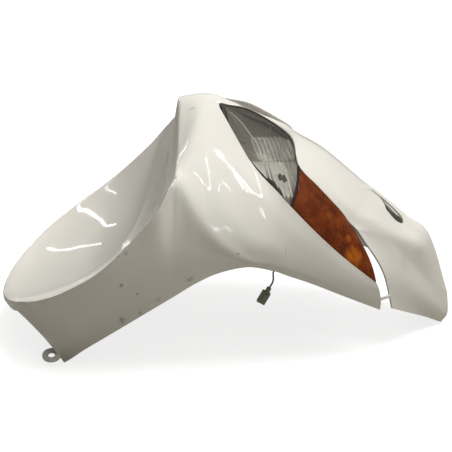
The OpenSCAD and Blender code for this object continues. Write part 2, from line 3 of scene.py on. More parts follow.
import bpy
import numpy as np
from bpy.props import FloatProperty, FloatVectorProperty, PointerProperty
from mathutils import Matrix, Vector


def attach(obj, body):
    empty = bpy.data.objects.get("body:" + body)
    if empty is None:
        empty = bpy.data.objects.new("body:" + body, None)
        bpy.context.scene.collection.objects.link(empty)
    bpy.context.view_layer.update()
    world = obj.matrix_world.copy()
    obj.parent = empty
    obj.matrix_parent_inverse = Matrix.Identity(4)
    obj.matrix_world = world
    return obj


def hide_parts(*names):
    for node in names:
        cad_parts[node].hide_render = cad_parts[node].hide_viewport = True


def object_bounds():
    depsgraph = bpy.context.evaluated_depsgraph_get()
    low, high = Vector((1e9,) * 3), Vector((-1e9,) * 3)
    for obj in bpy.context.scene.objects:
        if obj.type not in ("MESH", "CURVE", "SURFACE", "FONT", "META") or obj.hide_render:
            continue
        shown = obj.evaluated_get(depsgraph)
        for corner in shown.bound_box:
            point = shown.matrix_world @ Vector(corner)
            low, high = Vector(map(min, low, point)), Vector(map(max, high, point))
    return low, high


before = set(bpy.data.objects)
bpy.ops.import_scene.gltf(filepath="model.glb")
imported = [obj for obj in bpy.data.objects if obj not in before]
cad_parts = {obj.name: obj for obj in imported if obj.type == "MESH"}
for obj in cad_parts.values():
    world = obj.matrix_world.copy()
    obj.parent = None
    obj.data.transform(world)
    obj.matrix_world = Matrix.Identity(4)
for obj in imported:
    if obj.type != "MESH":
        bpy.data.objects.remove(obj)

bl_info = {
    "name": "Scooter front panel",
    "version": (1, 0, 0),
    "blender": (4, 5, 0),
    "location": "View3D > Sidebar > Front panel",
    "description": "Dresses the packed front fairing panel: shell, lamps, lead and stage",
    "category": "Object",
}

CAD_LOW, CAD_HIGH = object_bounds()
MM = 0.001

# The panel's sections, in millimetres: along, out from the centre, up. They run from the rear edge
# to the centre line over eleven guides, on one half, as in the CAD source.
NONE = (0, 0, 0)
EDGE = [(-252, 169, 1), (-282, 174, 46), (-322, 135, 70), (-333, 116, 67), (-341, 97, 64), (-346,
    82, 62), (-351, 66, 60), (-356, 50, 58), (-360, 30, 57), (-362, 14, 57), (-362, 0, 57)]
TIP = [(-243, 171, 7), (-268, 178, 44), (-322, 141, 94), (-334, 119, 85), (-342, 102, 80), (-348,
    86, 76), (-353, 70, 73), (-357, 54, 70), (-360, 34, 67), (-361, 15, 66), (-362, 0, 65)]
BOWL_OUTER = [
    [(-232, 174, 16), (-255, 187, 56), (-302, 172, 105)],
    [(-215, 177, 29), (-232, 201, 78), (-253, 212, 134)],
    [(-175, 184, 57), (-182, 214, 115), (-189, 231, 178)],
    [(-125, 192, 92), (-128, 216, 160), (-131, 222, 235)],
    [(-98, 194, 110), (-100, 213, 190), (-100, 216, 272)],
]
BOWL_CENTRE = [(-320, 68), (-264, 82), (-202, 108), (-142, 158), (-102, 240)]
BOWL_SHARE = [0.86, 0.7, 0.54, 0.4, 0.27, 0.16, 0.07, 0]
LIP = [(-76, 194, 124), (-78, 204, 205), (-78, 181, 298), (-76, 150, 307), (-75, 118, 316), (-74,
    84, 329), (-74, 56, 345), (-74, 36, 361), (-74, 20, 373), (-75, 8, 380), (-75, 0, 382)]
NOSE = [(-45, 194, 144), (-46, 200, 200), (-47, 190, 263), (-46, 142, 303), (-45, 90, 339), (-43,
    52, 363), (-42, 36, 372), (-42, 26, 378), (-42, 16, 383), (-42, 7, 386), (-42, 0, 387)]
APEX = [(-11, 191, 159), (-11, 196, 188), (-11, 196, 220), (-11, 163, 270), (-13, 104, 318), (-10,
    24, 372), (-11, 15, 377), (-11, 11, 380), (-11, 7, 382), (-11, 3, 383), (-11, 0, 383)]
LAMP_A = [(33, 184, 166), (33, 187, 173), (34, 189, 184), (34, 178, 220), (35, 134, 275), (39, 92,
    304), (39, 14, 357), (38, 10, 358), (38, 7, 359), (38, 4, 359), (38, 0, 360)]
LAMP_B = [(72, 177, 157), (72, 179, 164), (73, 180, 174), (74, 176, 198), (76, 156, 236), (80, 131,
    268), (100, 21, 328), (99, 16, 328), (98, 11, 329), (97, 6, 329), (97, 0, 329)]
SEAM = [(95, 172, 147), (95, 174, 154), (96, 175, 164), (97, 172, 185), (98, 162, 216), (99, 144,
    250), (113, 79, 295), (116, 58, 304), (119, 36, 310), (122, 15, 313), (123, 0, 314)]
AMBER_A = [(133, 163, 130), (133, 165, 137), (134, 167, 146), (135, 166, 164), (137, 161, 187),
    (140, 153, 209), (143, 96, 266), (148, 78, 275), (155, 44, 286), (160, 18, 289), (163, 0, 289)]
AMBER_B = [(184, 150, 104), (184, 153, 111), (184, 155, 120), (184, 156, 134), (183, 154, 151),
    (183, 149, 167), (178, 103, 229), (188, 84, 240), (203, 36, 247), (209, 14, 248), (212, 0, 247)]
PANEL_TIP = [(240, 138, 77), (241, 139, 84), (241, 140, 92), (240, 141, 102), (238, 142, 112), (234,
    142, 123), (191, 105, 211), (212, 80, 219), (235, 13, 223), (237, 7, 225), (238, 0, 225)]
SLOT_END = [NONE] * 6 + [(199, 105, 203), (233, 76, 203), (277, 28, 178), (286, 9, 179), (287, 0,
    185)]
FALL = [NONE] * 6 + [(203, 106, 199), (249, 76, 182), (310, 34, 147), (325, 10, 152), (328, 0, 152)]
CREASE = [NONE] * 6 + [(206, 106, 195), (263, 73, 158), (319, 37, 93), (354, 11, 57), (362, 0, 51)]
SKIRT = [NONE] * 6 + [(245, 108, 133), (284, 76, 98), (327, 41, 52), (359, 12, 20), (363, 0, 16)]
END = [NONE] * 6 + [(263, 104, 66), (289, 75, 47), (322, 39, 24), (349, 14, 5), (353, 0, 1)]


def bowl_section(outer, mid, bowl_dip=0.0, bowl_curve=2.3):
    rim = outer[2]
    return outer + [
        (mid[0] + (rim[0] - mid[0]) * s**2, rim[1] * s,
         mid[1] - bowl_dip + (rim[2] - mid[1] + bowl_dip) * s**bowl_curve)
        for s in BOWL_SHARE]


SECTIONS = np.array(
    [EDGE, TIP] + [bowl_section(o, m) for o, m in zip(BOWL_OUTER, BOWL_CENTRE)]
    + [LIP, NOSE, APEX, LAMP_A, LAMP_B, SEAM, AMBER_A, AMBER_B, PANEL_TIP, SLOT_END, FALL, CREASE,
       SKIRT, END], float) * (1, -1, 1)
S_TIP, S_LIP, S_APEX, S_LAMP_A, S_LAMP_B, S_SEAM, S_AMBER_A, S_AMBER_B = 1, 7, 9, 10, 11, 12, 13, 14
S_PANEL, S_SLOT, S_CREASE = 15, 16, 18
G_RIM, G_RIDGE, G_LOW, G_UP, G_SLOT_OUT, G_SLOT_IN, G_MID = 2, 4, 5, 6, 8, 9, 10
SHIFT = np.array([-0.625, 0.0, 0.0])

# The photograph's view: degrees down, millimetres away, pixels a millimetre, the middle's height.
VIEW_PITCH, VIEW_DISTANCE, VIEW_SCALE, VIEW_HEIGHT, PHOTO_SIDE = 20, 3000.0, 0.62, 166.0, 452

WALL, RIM_ROUND, SPINE_RAISE = 3.0, 0.8, 5.0
LENS_WALL, LENS_GAP, CLEAR_BULGE, AMBER_BULGE, END_BULGE, FIT_GAP = 2.5, 0.8, 15.0, 7.0, 3.0, 0.3
FREE_END_ROUND = 9.0
HOUSING_DEPTH, HOUSING_WALL, HOUSING_GAP = 62.0, 2.5, 1.9
REFLECTOR_DEPTH, REFLECTOR_WALL, REFLECTOR_GAP = 40.0, 1.5, 2.1


# Curves and surfaces of the loft.
def unit(v):
    v = np.asarray(v, float)
    return v / np.maximum(np.linalg.norm(v, axis=-1, keepdims=True), 1e-9)


def spline(a, b, c, d, t):
    return 0.5 * (2 * b + (c - a) * t + (2 * a - 5 * b + 4 * c - d) * t * t
                  + (3 * b - a - 3 * c + d) * t**3)


def sharp_row(k, g):
    if k == S_APEX and g in (G_LOW, G_UP):
        return True
    if k in (S_TIP, S_LIP):
        return g > G_RIM
    if k == S_CREASE:
        return g > G_LOW
    return k == S_PANEL and g <= G_LOW


def sharp_col(k, t, g):
    if g == G_RIM:
        return S_TIP <= k < S_LIP or (k == S_LIP and t == 0)
    return g in (G_LOW, G_UP) and k >= S_APEX


GUIDE_POINTS = {}


def on_guide(g, k, t):
    if (g, k, t) not in GUIDE_POINTS:
        last = len(SECTIONS) - 1
        k2 = min(k + 1, last)
        b, c = SECTIONS[k][g], SECTIONS[k2][g]
        a = 2 * b - c if k == 0 or sharp_row(k, g) else SECTIONS[k - 1][g]
        d = 2 * c - b if k2 == last or sharp_row(k2, g) else SECTIONS[k2 + 1][g]
        GUIDE_POINTS[g, k, t] = b if t == 0 else spline(a, b, c, d, t)
    return GUIDE_POINTS[g, k, t]


def skin(k, t, g, s):
    """A point of the outer surface, between sections k and k + 1 and guides g and g + 1."""
    b = on_guide(g, k, t)
    if s == 0:
        return b
    c = on_guide(min(g + 1, G_MID), k, t)
    a = 2 * b - c if g == 0 or sharp_col(k, t, g) else on_guide(g - 1, k, t)
    if g + 1 >= G_MID:
        d = on_guide(G_MID - 1, k, t) * (1, -1, 1)
    elif sharp_col(k, t, g + 1):
        d = 2 * c - b
    else:
        d = on_guide(g + 2, k, t)
    return spline(a, b, c, d, s)


def share(u, u0, u1):
    return max(0.0, min(1.0, (u - u0) / (u1 - u0)))


def spread(count, first, last):
    return [first + (last - first) * i / count for i in range(count + 1)]


# Meshes.
def put(name, data):
    """A new object in the scene."""
    made = bpy.data.objects.new(name, data)
    bpy.context.scene.collection.objects.link(made)
    return made


def link(name, verts, faces, slots, materials, sharp_deg, node):
    """A new piece, riding on the one body; it stands for the CAD node named."""
    mesh = bpy.data.meshes.new(name)
    mesh.from_pydata([tuple(v) for v in np.asarray(verts, float) * MM], [], faces)
    for m in materials:
        mesh.materials.append(m)
    mesh.polygons.foreach_set("material_index", slots)
    mesh.validate()
    mesh.shade_smooth()
    mesh.set_sharp_from_angle(angle=math.radians(sharp_deg))
    piece = put(name, mesh)
    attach(piece, "root")
    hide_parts(node)
    return piece


def far(verts):
    return np.asarray(verts) * (1, -1, 1)


def flipped(faces):
    return [tuple(reversed(f)) for f in faces]


class Build:
    """Collects vertices, faces and slots of one piece."""

    def __init__(self):
        self.verts, self.faces, self.slots = [], [], []

    def add(self, verts, faces, slot=0):
        base = len(self.verts)
        self.verts += [tuple(v) for v in np.asarray(verts, float).reshape(-1, 3)]
        self.faces += [tuple(base + i for i in f) for f in faces]
        self.slots += slot if isinstance(slot, list) else [slot] * len(faces)

    def mirror(self):
        """The far side's copy."""
        made = Build()
        made.add(far(self.verts), flipped(self.faces), list(self.slots))
        return made


def sheet(front, back, skip=None):
    """A closed sheet between two grids of points; the cells that skip(r, c) names stay open."""
    front, back = np.asarray(front), np.asarray(back)
    rows, cols = front.shape[:2]
    n = rows * cols

    def q(r, c, side):
        return side * n + r * cols + c

    def here(r, c):
        return 0 <= r < rows - 1 and 0 <= c < cols - 1 and not (skip and skip(r, c))
    faces, slots = [], []
    for r in range(rows - 1):
        for c in range(cols - 1):
            if not here(r, c):
                continue
            faces.append((q(r, c, 0), q(r + 1, c, 0), q(r + 1, c + 1, 0), q(r, c + 1, 0)))
            faces.append((q(r, c, 1), q(r, c + 1, 1), q(r + 1, c + 1, 1), q(r + 1, c, 1)))
            slots += [0, 1]
            for (dr, dc), (a, b) in (((-1, 0), ((r, c), (r, c + 1))),
                                     ((1, 0), ((r + 1, c + 1), (r + 1, c))),
                                     ((0, -1), ((r + 1, c), (r, c))),
                                     ((0, 1), ((r, c + 1), (r + 1, c + 1)))):
                if not here(r + dr, c + dc):
                    faces.append((q(*a, 0), q(*b, 0), q(*b, 1), q(*a, 1)))
                    slots.append(2)
    return np.concatenate([front.reshape(-1, 3), back.reshape(-1, 3)]), faces, slots


def tidy(verts, faces):
    """Drops points that no face uses."""
    used = sorted({i for f in faces for i in f})
    place = {i: j for j, i in enumerate(used)}
    return np.asarray(verts)[used], [tuple(place[i] for i in f) for f in faces]


def lathe(profile, origin, axis, sides=48, closed=True):
    """Turns (radius, height) points round an axis; a closed profile makes a ring."""
    z = unit(axis)
    x = unit(np.cross([0.0, 1.0, 0.3], z))
    y = np.cross(z, x)
    verts = [np.asarray(origin) + z * h + (x * math.cos(a) + y * math.sin(a)) * max(r, 1e-4)
             for a in (2 * math.pi * i / sides for i in range(sides)) for r, h in profile]
    n = len(profile)
    faces = [(i * n + j, (i + 1) % sides * n + j, (i + 1) % sides * n + (j + 1) % n,
              i * n + (j + 1) % n)
             for i in range(sides) for j in range(n if closed else n - 1)]
    return verts, faces


def ring_profile(outer, inner, low, high, soft):
    """The section of a ring with softened corners."""
    return [(inner + soft, low), (inner, low + soft), (inner, high - soft), (inner + soft, high),
            (outer - soft, high), (outer, high - soft), (outer, low + soft), (outer - soft, low)]


# Shader maths: a wrapped socket takes part in Python expressions and adds the nodes they need.
class Socket:
    def __init__(self, shader, link_from):
        self.shader, self.link_from = shader, link_from

    def _math(self, operation, *values):
        return self.shader.node("ShaderNodeMath", {"operation": operation},
                                dict(enumerate(values)))

    def __add__(self, other):
        return self._math("ADD", self, other)

    def __radd__(self, other):
        return self._math("ADD", other, self)

    def __sub__(self, other):
        return self._math("SUBTRACT", self, other)

    def __rsub__(self, other):
        return self._math("SUBTRACT", other, self)

    def __mul__(self, other):
        return self._math("MULTIPLY", self, other)

    def __rmul__(self, other):
        return self._math("MULTIPLY", other, self)

    def clamp(self):
        return self._math("MINIMUM", self._math("MAXIMUM", self, 0.0), 1.0)

    def greater(self, other):
        return self._math("MAXIMUM", self, other)

    def sine(self):
        return self._math("SINE", self)


class Shader:
    """One material and its nodes."""

    def __init__(self, owner, output="ShaderNodeOutputMaterial"):
        self.owner = bpy.data.materials.new(owner) if isinstance(owner, str) else owner
        self.owner.use_nodes = True
        self.tree = self.owner.node_tree
        self.tree.nodes.clear()
        self.output = self.tree.nodes.new(output)

    def node(self, kind, settings=None, values=None, out=0):
        """Adds a node: its settings first, then its sockets' values or links; gives one output."""
        made = self.tree.nodes.new(kind)
        for key, value in (settings or {}).items():
            if key == "stops":
                ramp = made.color_ramp
                while len(ramp.elements) < len(value):
                    ramp.elements.new(0.5)
                for element, (place, colour) in zip(ramp.elements, value):
                    element.position, element.color = place, (*colour, 1.0)
            else:
                setattr(made, key, value)
        for key, value in (values or {}).items():
            socket = made.inputs[key]
            if isinstance(value, Socket):
                self.tree.links.new(value.link_from, socket)
            else:
                socket.default_value = value
        return Socket(self, made.outputs[out])

    def place(self):
        return self.node("ShaderNodeTexCoord", out="Object")

    def split(self, vector):
        node = self.tree.nodes.new("ShaderNodeSeparateXYZ")
        self.tree.links.new(vector.link_from, node.inputs[0])
        return [Socket(self, o) for o in node.outputs]

    def noise(self, vector, scale, detail=2.0, rough=0.5):
        return self.node("ShaderNodeTexNoise", {}, {
            "Vector": vector, "Scale": scale, "Detail": detail, "Roughness": rough})

    def stretched(self, vector, scale):
        return self.node("ShaderNodeVectorMath", {"operation": "MULTIPLY"},
                         {0: vector, 1: scale})

    def mix(self, factor, first, second):
        return self.node("ShaderNodeMix", {"data_type": "RGBA"},
                         {0: factor, 6: first, 7: second}, out=2)

    def reach(self, vector, centre, size, turn=(0, 0, 0)):
        """Distance from a centre, as a share of the size along each of its turned axes."""
        inside = self.node("ShaderNodeMapping", {"vector_type": "TEXTURE"}, {
            "Vector": vector, "Location": [v * MM for v in centre], "Rotation": list(turn),
            "Scale": [v * MM for v in size]})
        return self.node("ShaderNodeVectorMath", {"operation": "LENGTH"}, {0: inside}, out=1)

    def see_through(self, colour):
        return self.node("ShaderNodeBsdfTransparent", {}, {"Color": colour})

    def ramp(self, value, stops):
        return self.node("ShaderNodeValToRGB", {"stops": stops}, {0: value})

    def bump(self, height, strength, distance):
        return self.node("ShaderNodeBump", {}, {
            "Height": height, "Strength": strength, "Distance": distance})

    def principled(self, **values):
        return self.node("ShaderNodeBsdfPrincipled", {},
                         {k.replace("_", " "): v for k, v in values.items()})

    def outer_fresnel(self, ior):
        """The share that a clear piece throws back, on its outer side only."""
        inner = self.node("ShaderNodeNewGeometry", out="Backfacing")
        return self.node("ShaderNodeFresnel", {}, {"IOR": ior}) * (1.0 - inner)

    def mix_shader(self, factor, first, second):
        return self.node("ShaderNodeMixShader", {}, {0: factor, 1: first, 2: second})

    def finish(self, shader):
        self.tree.links.new(shader.link_from, self.output.inputs["Surface"])
        return self.owner


def rgb(colour):
    return (*colour, 1.0)


# Marks of wear on the white shell: centre and long direction in millimetres, half length,
# half width, strength.
MARKS = [
    ((-157.8, -219.9, 151.6), (0.5, 0.2, 0.85), 4.5, 1.2, 0.8),
    ((-135.3, -209.7, 132.8), (1, 0, 0), 2.2, 1.6, 0.7),
    ((-159.7, -194.2, 83.7), (0.2, 0.4, 0.9), 8, 4.5, 0.75),
    ((-132.0, -194.4, 95.3), (0.3, 0.4, 0.9), 8, 3, 0.4),
    ((-104.1, -197.3, 118.0), (1, 0, 0.4), 6, 2.5, 0.35),
    ((-53.7, -196.0, 151.8), (1, 0, 0.4), 7, 2, 0.5),
    ((16.7, -192.6, 191.9), (0, 0, 1), 1.5, 1.2, 1.0),
    ((90.3, -172.7, 188.4), (0.05, -0.2, -0.97), 9, 0.6, 0.45),
    ((-161.7, -228.2, 201.5), (1, 0, 0.6), 3, 1.3, 0.6),
    ((-149.9, -224.9, 203.4), (0.3, 0, 1), 3.5, 1, 0.6),
    ((-53.6, -31.5, 371.6), (1, 0, 0.3), 6, 3, 0.3),
    ((307.9, -39.1, 136.0), (0.6, 0.6, -0.5), 14, 6, 0.16),
    ((281.9, -64.6, 128.7), (0.6, 0.6, -0.5), 12, 7, 0.13),
    ((-208.8, 84.0, 110.8), (0.2, -1, 0), 10, 0.7, 0.45),
]


def mark_mask(shader, position, rough):
    """One where a mark is, broken up by a fine noise."""
    total = 0.0
    for centre, along, length, width, strength in MARKS:
        turn = Vector(along).normalized().to_track_quat("X", "Z").to_euler()
        reach = shader.reach(position, centre, (length, width, max(width, 2.0) * 2), turn)
        spot = ((1.0 - reach + (rough - 0.5) * 4.5) * 2.0).clamp() * strength
        total = spot if isinstance(total, float) else total.greater(spot)
    return total


def white_gloss():
    """Gloss white moulding, faintly mottled, with scuffs and fine scratches, and darker and rougher
    in patches towards the bottom.
    """
    look = bpy.context.scene.front_panel_shell
    s = Shader("white_gloss_plastic")
    p = s.place()
    height = s.split(p)[2]
    wide, fine = s.noise(p, 7.0, 3.0), s.noise(p, 420.0, 3.0, 0.6)
    marks = mark_mask(s, p, s.noise(p, 330.0, 4.0, 0.75))
    # darker and rougher in patches below 75 mm, towards the bottom
    dirt = ((0.075 - height) * 14.0).clamp() * ((s.noise(p, 26.0, 5.0, 0.65) - 0.48) * 3.2).clamp()
    scratch_lines = s.noise(s.stretched(p, (30.0, 900.0, 260.0)), 1.0, 2.0)
    scratches = ((scratch_lines - 0.7) * 9.0).clamp() * ((wide - 0.5) * 4.0).clamp()
    base = s.mix(((wide - 0.35) * 2.2).clamp(), rgb(look.colour), rgb(look.aged))
    base = s.mix((marks * 0.85).clamp(), base, rgb(look.mark))
    base = s.mix((dirt * 0.35).clamp(), base, rgb(look.dirt))
    rough = look.gloss + wide * 0.03 + fine * 0.02 + marks * 0.35 + dirt * 0.25 + scratches * 0.12
    peel = s.noise(p, 260.0, 2.0)
    normal = s.bump(peel * 0.4 - scratches * 0.6 - marks * 0.8, 0.07, 0.0004)
    return s.finish(s.principled(Base_Color=base, Roughness=rough.clamp(), Normal=normal,
                                 IOR=1.5))


def white_inside():
    """The moulding's unpolished inner face."""
    look = bpy.context.scene.front_panel_shell
    s = Shader("white_matt_plastic")
    p = s.place()
    cloud, grain = s.noise(p, 9.0, 4.0), s.noise(p, 700.0, 2.0)
    dust = ((cloud - 0.45) * 2.5).clamp()
    base = s.mix(dust * 0.45, rgb(look.inner), rgb(look.dirt))
    return s.finish(s.principled(Base_Color=base, Roughness=0.5 + cloud * 0.2,
                                 Normal=s.bump(grain, 0.25, 0.0003), IOR=1.5))


def clear_plastic():
    """Clear lens: see-through, with a hard reflection, faint haze and fine scratches."""
    look = bpy.context.scene.front_panel_lamps
    s = Shader("clear_lens_plastic")
    p = s.place()
    cloud = s.noise(p, 30.0, 4.0)
    scratch = s.noise(s.stretched(p, (300.0, 60.0, 900.0)), 1.0, 2.0)
    haze = ((cloud - 0.45) * 2.0).clamp()
    see = s.see_through(rgb(look.clear_tint))
    gloss = s.principled(Base_Color=(0.42, 0.40, 0.37, 1), Roughness=0.035 + haze * 0.06,
                         IOR=1.55, Normal=s.bump(scratch, 0.03, 0.0003))
    edge = s.outer_fresnel(1.55)
    return s.finish(s.mix_shader((edge * 0.9 + 0.03 + haze * 0.04).clamp(), see, gloss))


def amber_plastic():
    """Amber lens with fine upright flutes that break up what shows through, with painted light in
    its bright stripes and glow patches.
    """
    look = bpy.context.scene.front_panel_lamps
    s = Shader("amber_lens_plastic")
    p = s.place()
    x, _, z = s.split(p)
    phase = (x - z * 0.16) * (2 * math.pi / look.amber_pitch)
    wobble = s.noise(p, 55.0, 2.0) * 2.0
    broken = ((s.noise(s.stretched(p, (70.0, 70.0, 26.0)), 1.0, 3.0, 0.7) - 0.42) * 4.0).clamp()
    flute = ((phase + wobble).sine() * 0.5 + 0.5) * (0.35 + broken * 0.65)
    cloud = s.noise(p, 38.0, 4.0, 0.65)
    glow = painted_amber_glow(s, p)
    # deep to bright amber by cloud and flutes: partly the lens's own uneven tone, partly painted
    # light gathered along the flutes
    deep = s.mix(((cloud - 0.38) * 2.6).clamp() * 0.5 + flute * 0.45, rgb(look.amber_deep),
                 rgb(look.amber_bright))
    # painted glow: bright amber patches painted where light gathers behind the lens
    deep = s.mix((glow * (0.35 + broken * 0.75)).clamp(), deep, rgb(look.painted_amber_glow))
    see = s.see_through(rgb(look.amber_tint))
    body = s.principled(Base_Color=deep, Roughness=0.12 + cloud * 0.08, IOR=1.38,
                        Normal=s.bump(flute, 0.5, 0.0008))
    return s.finish(s.mix_shader((0.62 + flute * 0.2 + cloud * 0.1).clamp(), see, body))


# painted glow: the light gathering behind the amber lens is painted on as brighter amber
PAINTED_GLOWS = [  # where the light gathers behind the amber lens: centre and reach, in millimetres
    ((152.0, 118.0, 224.0), (15, 16, 13)), ((197.0, 140.0, 168.0), (18, 18, 20)),
    ((186.0, 125.0, 190.0), (8, 12, 9))]


def painted_amber_glow(s, position):
    """Painted glow: soft bright patches, one on each side of the panel, where the reflector would
    shine through.
    """
    total = 0.0
    for (x, y, z), size in PAINTED_GLOWS:
        for side in (-1, 1):
            away = s.reach(position, (x, side * y, z), size)
            total = (1.0 - away).clamp() + total
    return total


def bright_metal():
    """Metallised plastic of the reflectors, slightly tarnished."""
    look = bpy.context.scene.front_panel_lamps
    s = Shader("metallised_reflector")
    p = s.place()
    cloud, spot = s.noise(p, 24.0, 4.0), s.noise(p, 300.0, 2.0)
    base = s.mix(((cloud - 0.35) * 2.0).clamp(), rgb(look.reflector),
                 rgb([c * 0.82 for c in look.reflector]))
    return s.finish(s.principled(Base_Color=base, Metallic=0.55, Roughness=0.14 + cloud * 0.1,
                                 Normal=s.bump(spot, 0.05, 0.0003)))


def dull(name, colour, rough, scale=400.0, strength=0.2, metal=0.0, patch=0.25):
    """A moulded, rubber or metal finish: patchy colour, patchy roughness and a fine grain."""
    s = Shader(name)
    p = s.place()
    cloud, grain = s.noise(p, 40.0, 4.0), s.noise(p, scale, 3.0, 0.6)
    base = s.mix(((cloud - 0.3) * 1.6).clamp() * patch + grain * 0.12, rgb(colour),
                 rgb([min(1.0, c * 1.6 + 0.02) for c in colour]))
    return s.finish(s.principled(Base_Color=base, Metallic=metal,
                                 Roughness=(rough - 0.08 + cloud * 0.16).clamp(),
                                 Normal=s.bump(grain, strength, 0.0003)))


def bulb_glass():
    """Thin clear glass of a bulb."""
    s = Shader("bulb_glass")
    p = s.place()
    cloud = s.noise(p, 60.0, 2.0)
    see = s.see_through((0.93, 0.95, 0.95, 1))
    gloss = s.principled(Base_Color=(0.5, 0.5, 0.5, 1), Roughness=0.02 + cloud * 0.03, IOR=1.5)
    edge = s.outer_fresnel(1.5)
    return s.finish(s.mix_shader((edge + 0.08).clamp(), see, gloss))


FINISHES = {"white": white_gloss, "white_inside": white_inside, "clear": clear_plastic,
            "amber": amber_plastic, "reflector": bright_metal, "bulb": bulb_glass}
DULL = {  # material, colour, roughness, the grain's scale and strength, metal, patchiness
    # painted shade: a dull dark grey standing in for the shaded upper part of the headlamp
    # reflector
    "reflector_wall": ("smoked_reflector_wall", (0.26, 0.245, 0.215), 0.3, 300, 0.06, 0.3, 0.3),
    # painted reflection: a dull light grey band on the clear lens's steep upper edge
    "lens_edge": ("frosted_lens_edge", (0.34, 0.31, 0.285), 0.3, 500, 0.1),
    "lamp_body": ("grey_lamp_body", (0.07, 0.07, 0.068), 0.55, 500, 0.3),
    "seal": ("black_seal_rubber", (0.012, 0.012, 0.012), 0.6, 600, 0.3),
    "holder": ("black_holder_rubber", (0.018, 0.018, 0.018), 0.65, 500, 0.3),
    "screw": ("zinc_screw", (0.45, 0.45, 0.45), 0.35, 900, 0.15, 1.0),
    "lead": ("black_lead_sheath", (0.014, 0.014, 0.016), 0.5, 700, 0.2),
    "plug": ("olive_plug_plastic", (0.20, 0.205, 0.15), 0.5, 600, 0.2),
    "pin": ("tinned_pin", (0.62, 0.5, 0.28), 0.3, 900, 0.1, 1.0),
    "cap": ("grey_bulb_base", (0.66, 0.65, 0.62), 0.3, 700, 0.1, 0.4),
}
MADE = {}


def finish_of(name):
    """Each finish is made once and shared."""
    if name not in MADE:
        MADE[name] = dull(*DULL[name]) if name in DULL else FINISHES[name]()
    return MADE[name]


# The white shell.
ROW_MM, COL_MM = 6.5, 7.1
SLOT_ROWS = {0.8, 0.88, 0.93, 0.965, 0.985}  # closer rows, where an air slot rounds off
FOLD_DEG, FOLD_ROUNDS, CORNER_REACH, CORNER_ROUNDS = 18, 2, 24.0, 18


def fine_steps():
    """Rows and columns of the shell's fine grid, by the distance between sections or guides."""
    rows, cols = [], []
    for k in range(len(SECTIONS) - 1):
        guides = (G_UP, G_SLOT_OUT, G_MID) if k >= S_PANEL else range(G_MID + 1)
        gap = max(np.linalg.norm(SECTIONS[k + 1][g] - SECTIONS[k][g]) for g in guides)
        count = max(3, math.ceil(gap / ROW_MM))
        places = {i / count for i in range(count)} | (SLOT_ROWS if k == S_PANEL else set())
        rows += [(k, t) for t in sorted(places)]
    rows.append((len(SECTIONS) - 1, 0.0))
    for g in range(G_MID):
        gap = max(np.linalg.norm(s[g + 1] - s[g]) for s in SECTIONS if any(s[g]))
        count = max(3, math.ceil(gap / COL_MM))
        cols += [(g, i / count) for i in range(count)]
    cols.append((G_MID, 0.0))
    return rows, cols


def slot_narrowing(u):
    """How far an air slot's outer and inner columns draw in: to a point above, to a round below."""
    if u <= S_PANEL - 0.5 or u >= S_SLOT + 0.6:
        return 0.0, 0.0
    if u < S_PANEL + 0.5:
        return 0.86 * (1 - share(u, S_PANEL, S_PANEL + 0.5)) * share(u, S_PANEL - 0.5, S_PANEL), 0.0
    if u <= S_SLOT:
        both = 0.48 * (1 - math.sqrt(max(0.0, 1 - share(u, S_SLOT - 0.24, S_SLOT)**2)))
    else:
        both = 0.48 * (1 - share(u, S_SLOT, S_SLOT + 0.6))
    return both, both


def column_place(u, g, s):
    """Where a column of the fine grid runs, in guides."""
    c, (outer, inner) = g + s, slot_narrowing(u)
    if not outer + inner or c <= G_SLOT_OUT - 1:
        return g, s
    if c < G_SLOT_OUT:
        c = G_SLOT_OUT - 1 + (c - G_SLOT_OUT + 1) * (1 + outer)
    elif c < G_SLOT_IN:
        c = G_SLOT_OUT + outer + (c - G_SLOT_OUT) * (1 - outer - inner)
    else:
        c = G_SLOT_IN - inner + (c - G_SLOT_IN) * (1 + inner)
    g = min(int(c), G_MID)
    return g, c - g


def lift(k, t, g, s):
    """The spine between the air slots stands proud."""
    u = k + t
    if not (S_PANEL - 1 < u < S_SLOT + 1) or g < G_SLOT_OUT:
        return 0.0
    across = s if g == G_SLOT_OUT else 1.0
    return SPINE_RAISE * across * math.cos(math.pi / 2 * min(1, abs(u - (S_PANEL + 0.6)) / 1.4))**2


def cut_out(g, k):
    return ((g == G_LOW and k >= S_APEX) or (g < G_LOW and k >= S_PANEL)
            or (g == G_SLOT_OUT and k == S_PANEL))


def shell_grids():
    rows, cols = fine_steps()
    half = np.array([[skin(k, t, g, s) + (0, 0, lift(k, t, g, s))
                      for g, s in (column_place(k + t, *c) for c in cols)] for k, t in rows])
    grid = np.concatenate([half, far(half[:, -2::-1])], axis=1)
    nc, nh = grid.shape[1], len(cols) - 1
    live = np.array([[not cut_out(cols[c if c < nh else nc - 2 - c][0], rows[r][0])
                      for c in range(nc - 1)] for r in range(len(rows) - 1)])
    return rows, cols, grid, live


def cell_normals(grid):
    return unit(np.cross(grid[1:, 1:] - grid[:-1, :-1], grid[:-1, 1:] - grid[1:, :-1]))


def relax(grid, move, rounds):
    """Moves points half way towards the mean of their four neighbours, in place."""
    for _ in range(rounds):
        mean = np.zeros_like(grid)
        mean[1:-1, 1:-1] = (grid[:-2, 1:-1] + grid[2:, 1:-1] + grid[1:-1, :-2] + grid[1:-1, 2:]) / 4
        grid[move] += (mean[move] - grid[move]) * 0.5


